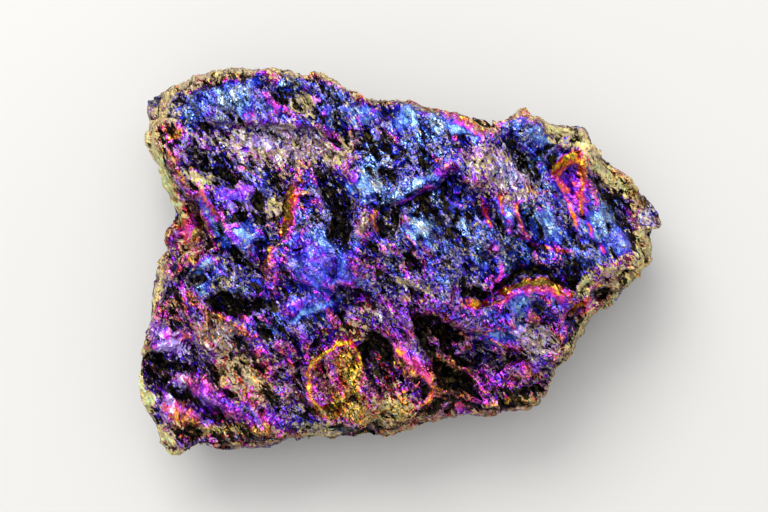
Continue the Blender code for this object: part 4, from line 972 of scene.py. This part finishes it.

# %% [markdown]
# ## The tarnished surface
# Bornite is a metal-like sulphide with a submetallic shine: it reflects through its film, so the colour is
# in the reflection and the surface is metallic in Blender's sense. A thin-film shader would need the film's
# true thickness at each place. We use a colour ramp instead, read at `film` plus fine noise, because the real
# film changes from one half-millimetre face to the next. Grains of crust, silvery grains, and black crevices
# and painted shade are laid over it: each is a pattern that shows wherever it is lower than the share the
# point asks for.

# %% Helpers for materials


def linear(hex_colour):
    """sRGB hex to linear RGB with alpha 1, by the sRGB curve."""
    channels = [int(hex_colour[i : i + 2], 16) / 255 for i in (1, 3, 5)]
    return [c / 12.92 if c <= 0.04045 else ((c + 0.055) / 1.055) ** 2.4 for c in channels] + [1.0]


def add_node(tree, kind, inputs=(), out=0, **settings):
    """Adds a node, sets its properties, fills its inputs, which are given by name or in order, with values or
    with links from other nodes, and returns one of its outputs."""
    made = tree.nodes.new("ShaderNode" + kind)
    for name, value in settings.items():
        setattr(made, name, value)
    for name, value in dict(inputs if isinstance(inputs, dict) else enumerate(inputs)).items():
        if isinstance(value, bpy.types.NodeSocket):
            tree.links.new(value, made.inputs[name])
        else:
            made.inputs[name].default_value = value
    return made.outputs[out]


def fill_ramp(ramp_output, stops):
    """Sets a colour ramp's stops from (position, hex colour) pairs."""
    elements = ramp_output.node.color_ramp.elements
    while len(elements) < len(stops):
        elements.new(0.5)
    for element, (position, colour) in zip(elements, stops):
        element.position = position
        element.color = linear(colour)


print("royal blue in linear light:", [round(c, 3) for c in linear("#3a50f0")])

# %% The colours of tarnished bornite
# Broken by hand and tarnished in air. Each scale has positions and sRGB colours.
# The film gives the eye a coloured metal, brass where it is thinnest and pale sky where it is thickest.
TARNISH = [
    (0.00, "#b0a04c"), (0.07, "#f8e248"), (0.16, "#ffaa1a"), (0.23, "#ff8038"), (0.30, "#ff54a0"),
    (0.43, "#cc40ff"), (0.54, "#8644ff"), (0.64, "#605aff"), (0.75, "#5e78ff"), (0.85, "#78a6ff"),
    (0.94, "#b0e0ff"), (1.00, "#e4e0f8"),
]
# Silvery grains give soft lilac glints. The crust is dry iron oxide and clay, and looks like matt stone.
SILVER = [(0.2, "#dcacd0"), (0.42, "#9674d6"), (0.65, "#c8ccf4"), (0.85, "#e8dcc0")]
CRUST = [(0.0, "#544a3c"), (0.3, "#a08c74"), (0.5, "#ae9c74"), (0.75, "#c0ac5c"), (1.0, "#aeba84")]
# Crevices and shaded hollows get painted shade: nearly black with a hint of brown or blue.
CREVICE_SHADE = [(0.25, "#040306"), (0.55, "#0e0c08"), (0.8, "#2a2410"), (1.0, "#0a0820")]
CRACK = "#08070a"
print("colours on the tarnish scale:", len(TARNISH))

# %% Start the material
GRAIN_STRETCH = 2.4  # how much longer a chip is along the grain than across it

skin = bpy.data.materials.new("tarnished_bornite_film")
skin.use_nodes = True
shader = skin.node_tree.nodes["Principled BSDF"]
node = partial(add_node, skin.node_tree)
place = node("TexCoord", out="Object")
along_grain = node(
    "Mapping",
    {"Vector": place, "Rotation": (0, 0, math.radians(GRAIN_BEARING)), "Scale": (GRAIN_STRETCH, 1, 1)},
    vector_type="TEXTURE",
)
mark = {field: node("Attribute", out="Fac", attribute_name=field) for field in marks}
print("the material reads", ", ".join(mark))

# %% Sums and blends
SOFT_EDGE = 0.02


def weighted_sum(*terms, start=0.0):
    """Start + the sum of value x weight over the pairs."""
    for value, weight in terms:
        start = node("Math", (value, weight, start), operation="MULTIPLY_ADD")
    return start


def swings(*terms):
    """Numbers in 0..1 become numbers in -reach..reach and are summed: 2 x reach x value, less the reaches."""
    doubled = [(value, 2 * reach) for value, reach in terms]
    return weighted_sum(*doubled, (1.0, -sum(reach for _, reach in terms)))


def shown_share(share, pattern):
    """1 where the pattern is lower than the share asked for, with a narrow soft edge."""
    less = node("Math", (share, pattern), operation="SUBTRACT")
    return node("MapRange", {"Value": less, "From Min": -SOFT_EDGE, "From Max": SOFT_EDGE})


# %% Patterns of grains, lines and chips
NOISE_LOW, NOISE_HIGH = 0.34, 0.66  # the noise seldom goes past these
LINE_CORE = 0.55  # the share of a line's width that is full strength


def ragged_noise(size_mm, where, offset, detail=4.0, roughness=0.66):
    """Noise whose broadest blotches have this size, with ragged edges from its finer octaves, spread over
    0..1 and moved by an offset so that no two patterns coincide."""
    moved = node("VectorMath", (where, (offset,) * 3), operation="ADD")
    noise = node("TexNoise", {"Vector": moved, "Scale": 1 / (size_mm * MM), "Detail": detail,
                              "Roughness": roughness, "Distortion": 0.3})
    return node("MapRange", {"Value": noise, "From Min": NOISE_LOW, "From Max": NOISE_HIGH})


def thin_lines(size_mm, where, offset, width):
    """1 on the winding lines where a ragged noise passes its middle value, 0 from this width away."""
    pattern = ragged_noise(size_mm, where, offset, detail=5.0, roughness=0.68)
    beside = node("Math", (pattern, 0.5), operation="SUBTRACT")
    away = node("Math", (beside,), operation="ABSOLUTE")
    return node("MapRange", {"Value": away, "From Min": LINE_CORE * width, "From Max": width,
                             "To Min": 1.0, "To Max": 0.0})


def bent_place(size_mm, where, offset):
    """The place, moved by an offset and pushed about by noise by up to half a chip, which bends the chips."""
    moved = node("VectorMath", (where, (offset,) * 3), operation="ADD")
    bend = node("TexNoise", {"Vector": moved, "Scale": 2 / (size_mm * MM), "Detail": 1.0}, out="Color")
    push = node("VectorMath", (bend, (0.5, 0.5, 0.5)), operation="SUBTRACT")
    push = node("VectorMath", (push, (size_mm * MM,) * 3), operation="MULTIPLY")
    return node("VectorMath", (moved, push), operation="ADD")


def chips(size_mm, bent):
    """Cells of about this size: three random numbers of each, and a height in metres that is a tilted plane
    in each: lean . (place - the cell's own point), with lean = its random numbers less a half."""
    cells = node("TexVoronoi", {"Vector": bent, "Scale": 1 / (size_mm * MM)}).node.outputs
    lean = node("VectorMath", (cells["Color"], (0.5, 0.5, 0.5)), operation="SUBTRACT")
    arm = node("VectorMath", (bent, cells["Position"]), operation="SUBTRACT")
    height = node("VectorMath", (lean, arm), out="Value", operation="DOT_PRODUCT")
    return node("SeparateColor", {"Color": cells["Color"]}).node.outputs, height


# Real faces run from several millimetres down to a few hundredths. The smallest drawn are 0.45 mm, because
# finer ones would be lost between the picture's points.
FACET_MM, LARGE_MM, SMALL_MM = 3.2, 1.2, 0.45
large_place = bent_place(LARGE_MM, along_grain, 0.11)
large_chip, large_height = chips(LARGE_MM, large_place)
small_chip, small_height = chips(SMALL_MM, bent_place(SMALL_MM, along_grain, 0.29))
facet, facet_height = chips(FACET_MM, bent_place(FACET_MM, along_grain, 0.41))
print("faces drawn, mm:", FACET_MM, LARGE_MM, SMALL_MM)

# %% The film
# The film's place on its scale wanders from face to face, and is lower along a few winding veins.
# Painted shade: how dark the deepened colour gets, and the share of it on smooth flakes.
DEEP_SHADE, SMOOTH_SHADE = 0.45, 0.4
VALLEY_SHADE_LEVEL, VALLEY_SHADE_SHARE = 0.42, 2.2  # the `depth` at which the painted shade begins to deepen the colour, and how fast
VEIN_DROP = 0.25

veins = node("Math", (thin_lines(1.9, place, 0.47, 0.12), ragged_noise(5.0, place, 0.91)),
             operation="MULTIPLY")
wander = swings((ragged_noise(2.2, along_grain, 0.17, detail=4.0, roughness=0.62), 0.10),
                (large_chip["Red"], 0.07), (small_chip["Red"], 0.03), (facet["Red"], 0.07))
wander = weighted_sum((veins, -VEIN_DROP), start=wander)
film_colour = node("ValToRGB", {"Fac": weighted_sum((mark["spread"], wander), start=mark["film"])})
fill_ramp(film_colour, TARNISH)

# Painted shade: the colour is squared and darkened, by a random share from face to face that stands in for
# faces leaning away from the light, by more in valleys, and by a fixed share on smooth flakes.
shaded_film = node("VectorMath", (film_colour, film_colour), operation="MULTIPLY")
shaded_film = node("VectorMath", (shaded_film, (DEEP_SHADE,) * 3), operation="MULTIPLY")
film_shade = weighted_sum((small_chip["Blue"], 0.3), (facet["Green"], 0.4), (large_chip["Blue"], 0.2),
                          (mark["depth"], VALLEY_SHADE_SHARE), (VALLEY_SHADE_LEVEL, -VALLEY_SHADE_SHARE))
film_shade = node("MapRange", {"Value": mark["spread"], "To Min": SMOOTH_SHADE, "To Max": film_shade})
print("nodes with the film:", len(skin.node_tree.nodes))

# %% Silvery grains, crust, and crevices in painted shade
pale_grain = node("MapRange", {"Value": 0.4, "To Min": ragged_noise(0.8, place, 0.23, detail=5.0),
                               "To Max": small_chip["Green"]})
crust_grain = node("MapRange", {"Value": 0.4, "To Min": ragged_noise(0.7, place, 0.37, detail=5.0),
                                "To Max": small_chip["Blue"]})
dark_grain = node("MapRange", {
    "Value": 0.15, "To Min": ragged_noise(0.85, along_grain, 0.53, detail=5.0, roughness=0.72),
    "To Max": large_chip["Green"],
})
pale_mask = shown_share(mark["pale"], pale_grain)
dark_mask = shown_share(mark["dark"], dark_grain)

# Thin tan filaments of crust run between the faces of the film.
FILAMENT_SHARE = 0.75
filament_places = shown_share(0.55, ragged_noise(3.5, place, 0.57))
filaments = node("Math", (thin_lines(1.3, place, 0.33, 0.10), filament_places), operation="MULTIPLY")
filaments = node("Math", (filaments, weighted_sum((mark["spread"], FILAMENT_SHARE))), operation="MULTIPLY")
crust_mask = node("Math", (shown_share(mark["crust"], crust_grain), filaments), operation="MAXIMUM")

crust_tone = swings((small_chip["Red"], 0.30), (ragged_noise(2.0, place, 0.71), 0.25))
crust_colour = node("ValToRGB", {"Fac": weighted_sum((crust_tone, 1.0), start=mark["tone"])})
fill_ramp(crust_colour, CRUST)
silver_tone = node("MapRange", {"Value": mark["spread"], "To Min": 0.42, "To Max": small_chip["Red"]})
silver_colour = node("ValToRGB", {"Fac": silver_tone})
fill_ramp(silver_colour, SILVER)
crevice_shade_colour = node("ValToRGB", {"Fac": small_chip["Green"]})
fill_ramp(crevice_shade_colour, CREVICE_SHADE)
print("nodes with the grains and crevices:", len(skin.node_tree.nodes))

# %% Cracks
# Thin black cracks wander along the grain and follow the joints between the large chips. Smooth flakes have
# few, and grainy places show them weaker.
JOINT_WIDTH = 0.06

border = node("TexVoronoi", {"Vector": large_place, "Scale": 1 / (LARGE_MM * MM)}, feature="DISTANCE_TO_EDGE")
joints = node("MapRange", {"Value": border, "From Max": JOINT_WIDTH, "To Min": 1.0, "To Max": 0.0})
cracks = thin_lines(1.0, along_grain, 0.61, 0.17)
for more in (thin_lines(0.5, along_grain, 0.83, 0.12), joints):
    cracks = node("Math", (cracks, weighted_sum((more, 0.8))), operation="MAXIMUM")
grainy = node("Math", (pale_mask, crust_mask), operation="MAXIMUM")
for share, least, most in ((mark["spread"], 0.1, 1.0), (grainy, 1.0, 0.5)):
    kept = node("MapRange", {"Value": share, "To Min": least, "To Max": most})
    cracks = node("Math", (cracks, kept), operation="MULTIPLY")
print("nodes with the cracks:", len(skin.node_tree.nodes))

# %% Lay the colours over one another
# On a Mix node for colours, inputs 0, 6 and 7 are the share, the colour below and the one above.
colour = film_colour
for share, above in (
    (film_shade, shaded_film), (pale_mask, silver_colour), (crust_mask, crust_colour), (cracks, linear(CRACK)),
    (dark_mask, crevice_shade_colour),
):
    colour = node("Mix", {0: share, 6: colour, 7: above}, out=2, data_type="RGBA")

# %% Shine and fine relief
# The film is metal, silvery grains are partly so, and crust isn't. A thin clear coat gives the wet glint.
COAT, COAT_ROUGHNESS, SPECULAR = 0.08, 0.16, 0.5

film_metal = node("MapRange", {"Value": pale_mask, "To Min": 0.94, "To Max": 0.3})
film_roughness = node("MapRange", {"Value": small_chip["Green"], "To Min": 0.20, "To Max": 0.42})
blocked = node("Math", (dark_mask, cracks), operation="MAXIMUM")
bare_share = node("Math", (1.0, blocked), operation="SUBTRACT")
chip_height = weighted_sum((large_height, 0.6), (small_height, 0.45), (facet_height, 0.25))
rough_share = node("MapRange", {"Value": mark["spread"], "To Min": 0.2, "To Max": 1.0})
chip_height = node("Math", (chip_height, rough_share), operation="MULTIPLY")

for name, value in (
    ("Base Color", colour),
    ("Metallic", node("MapRange", {"Value": crust_mask, "To Min": film_metal, "To Max": 0.0})),
    ("Roughness", node("MapRange", {"Value": crust_mask, "To Min": film_roughness, "To Max": 0.65})),
    ("Coat Weight", weighted_sum((bare_share, COAT))),
    ("Specular IOR Level", weighted_sum((bare_share, SPECULAR))),
    ("Normal", node("Bump", {"Height": chip_height, "Strength": 1.0, "Distance": 1.0})),
):
    skin.node_tree.links.new(value, shader.inputs[name])
shader.inputs["Coat Roughness"].default_value = COAT_ROUGHNESS
stone.data.materials.append(skin)
print("nodes in the material:", len(skin.node_tree.nodes))

# %% [markdown]
# ## Floor, light and camera
# The stone lies on a plain pale sheet. One soft lamp stands to the upper left. The sky is even, but brighter
# towards that side, as a wide window would make it, so that each small face mirrors either light or wall.
# The camera looks almost straight down from the front.

# %% The stage
WALL_LIGHT, WINDOW_LIGHT = 1.12, 3.5
WINDOW_HEIGHT, WINDOW_EDGE = 62, 0.55  # height in degrees; cosine at which the window's light begins
LIGHT_BEARING, LIGHT_HEIGHT = 114, 45
KEY_SIZE, KEY_POWER, KEY_DISTANCE = (0.50, 0.40), 6.8, 0.75  # metres, watts, metres
FLOOR_HALF = 900.0

floor_corners = [(-FLOOR_HALF, -FLOOR_HALF, 0), (FLOOR_HALF, -FLOOR_HALF, 0), (FLOOR_HALF, FLOOR_HALF, 0),
                 (-FLOOR_HALF, FLOOR_HALF, 0)]
floor = make_mesh("floor", np.array(floor_corners), np.array([(0, 1, 2, 3)]), np.empty((0, 3), dtype=int))
# Matt paper: no shine, so that the shadow reads softly.
paper = bpy.data.materials.new("matt_pale_paper")
paper.use_nodes = True
paper_shader = paper.node_tree.nodes["Principled BSDF"]
paper_shader.inputs["Base Color"].default_value = linear("#a09f9b")
paper_shader.inputs["Roughness"].default_value = 0.9
floor.data.materials.append(paper)


def look_from(thing, bearing, height, distance, target):
    """Places a lamp or camera at a bearing and height in degrees from the target, looking at it."""
    away = Vector(bearing_vector(bearing, height))
    thing.location = Vector(target) + distance * away
    thing.rotation_euler = away.to_track_quat("Z", "Y").to_euler()


lamp = bpy.data.lights.new("key", "AREA")
lamp.shape, lamp.size, lamp.size_y = "RECTANGLE", *KEY_SIZE
lamp.energy = KEY_POWER
key = bpy.data.objects.new("key", lamp)
bpy.context.scene.collection.objects.link(key)
look_from(key, LIGHT_BEARING, LIGHT_HEIGHT, KEY_DISTANCE, (0, 0, 0))
print("lamp:", KEY_POWER, "W at", KEY_DISTANCE, "m, over a floor", 2 * FLOOR_HALF * MM, "m wide")

# %% The sky
world = bpy.data.worlds.new("studio")
bpy.context.scene.world = world
world.use_nodes = True
sky_node = partial(add_node, world.node_tree)
towards_window = sky_node(
    "VectorMath", (sky_node("TexCoord", out="Generated"), bearing_vector(LIGHT_BEARING, WINDOW_HEIGHT)),
    out="Value", operation="DOT_PRODUCT",
)
sky_strength = sky_node(
    "MapRange",
    {"Value": towards_window, "From Min": WINDOW_EDGE, "To Min": WALL_LIGHT, "To Max": WINDOW_LIGHT},
    interpolation_type="SMOOTHSTEP",
)
background = world.node_tree.nodes["Background"]
world.node_tree.links.new(sky_strength, background.inputs["Strength"])
background.inputs["Color"].default_value = linear("#f6f6fa")
print("sky:", WALL_LIGHT, "rising to", WINDOW_LIGHT)

# %% The camera
PICTURE_WIDTH_MM = 124.0  # what the picture spans at the height of the stone's widest part
LENS_MM, SENSOR_MM = 85.0, 36.0
CAMERA_BEARING, CAMERA_HEIGHT = -90, 88
AIM = (-0.0028, 0.0010, 0.012)  # beside the stone's middle, at the height of its widest part

lens = bpy.data.cameras.new("camera")
lens.lens, lens.sensor_width = LENS_MM, SENSOR_MM
lens.clip_start, lens.clip_end = 0.01, 10.0
camera = bpy.data.objects.new("camera", lens)
bpy.context.scene.collection.objects.link(camera)
distance = PICTURE_WIDTH_MM * MM * LENS_MM / SENSOR_MM
look_from(camera, CAMERA_BEARING, CAMERA_HEIGHT, distance, AIM)
bpy.context.scene.camera = camera
bpy.context.scene.view_settings.view_transform = "Standard"
print(f"camera {distance * 1000:.0f} mm away")
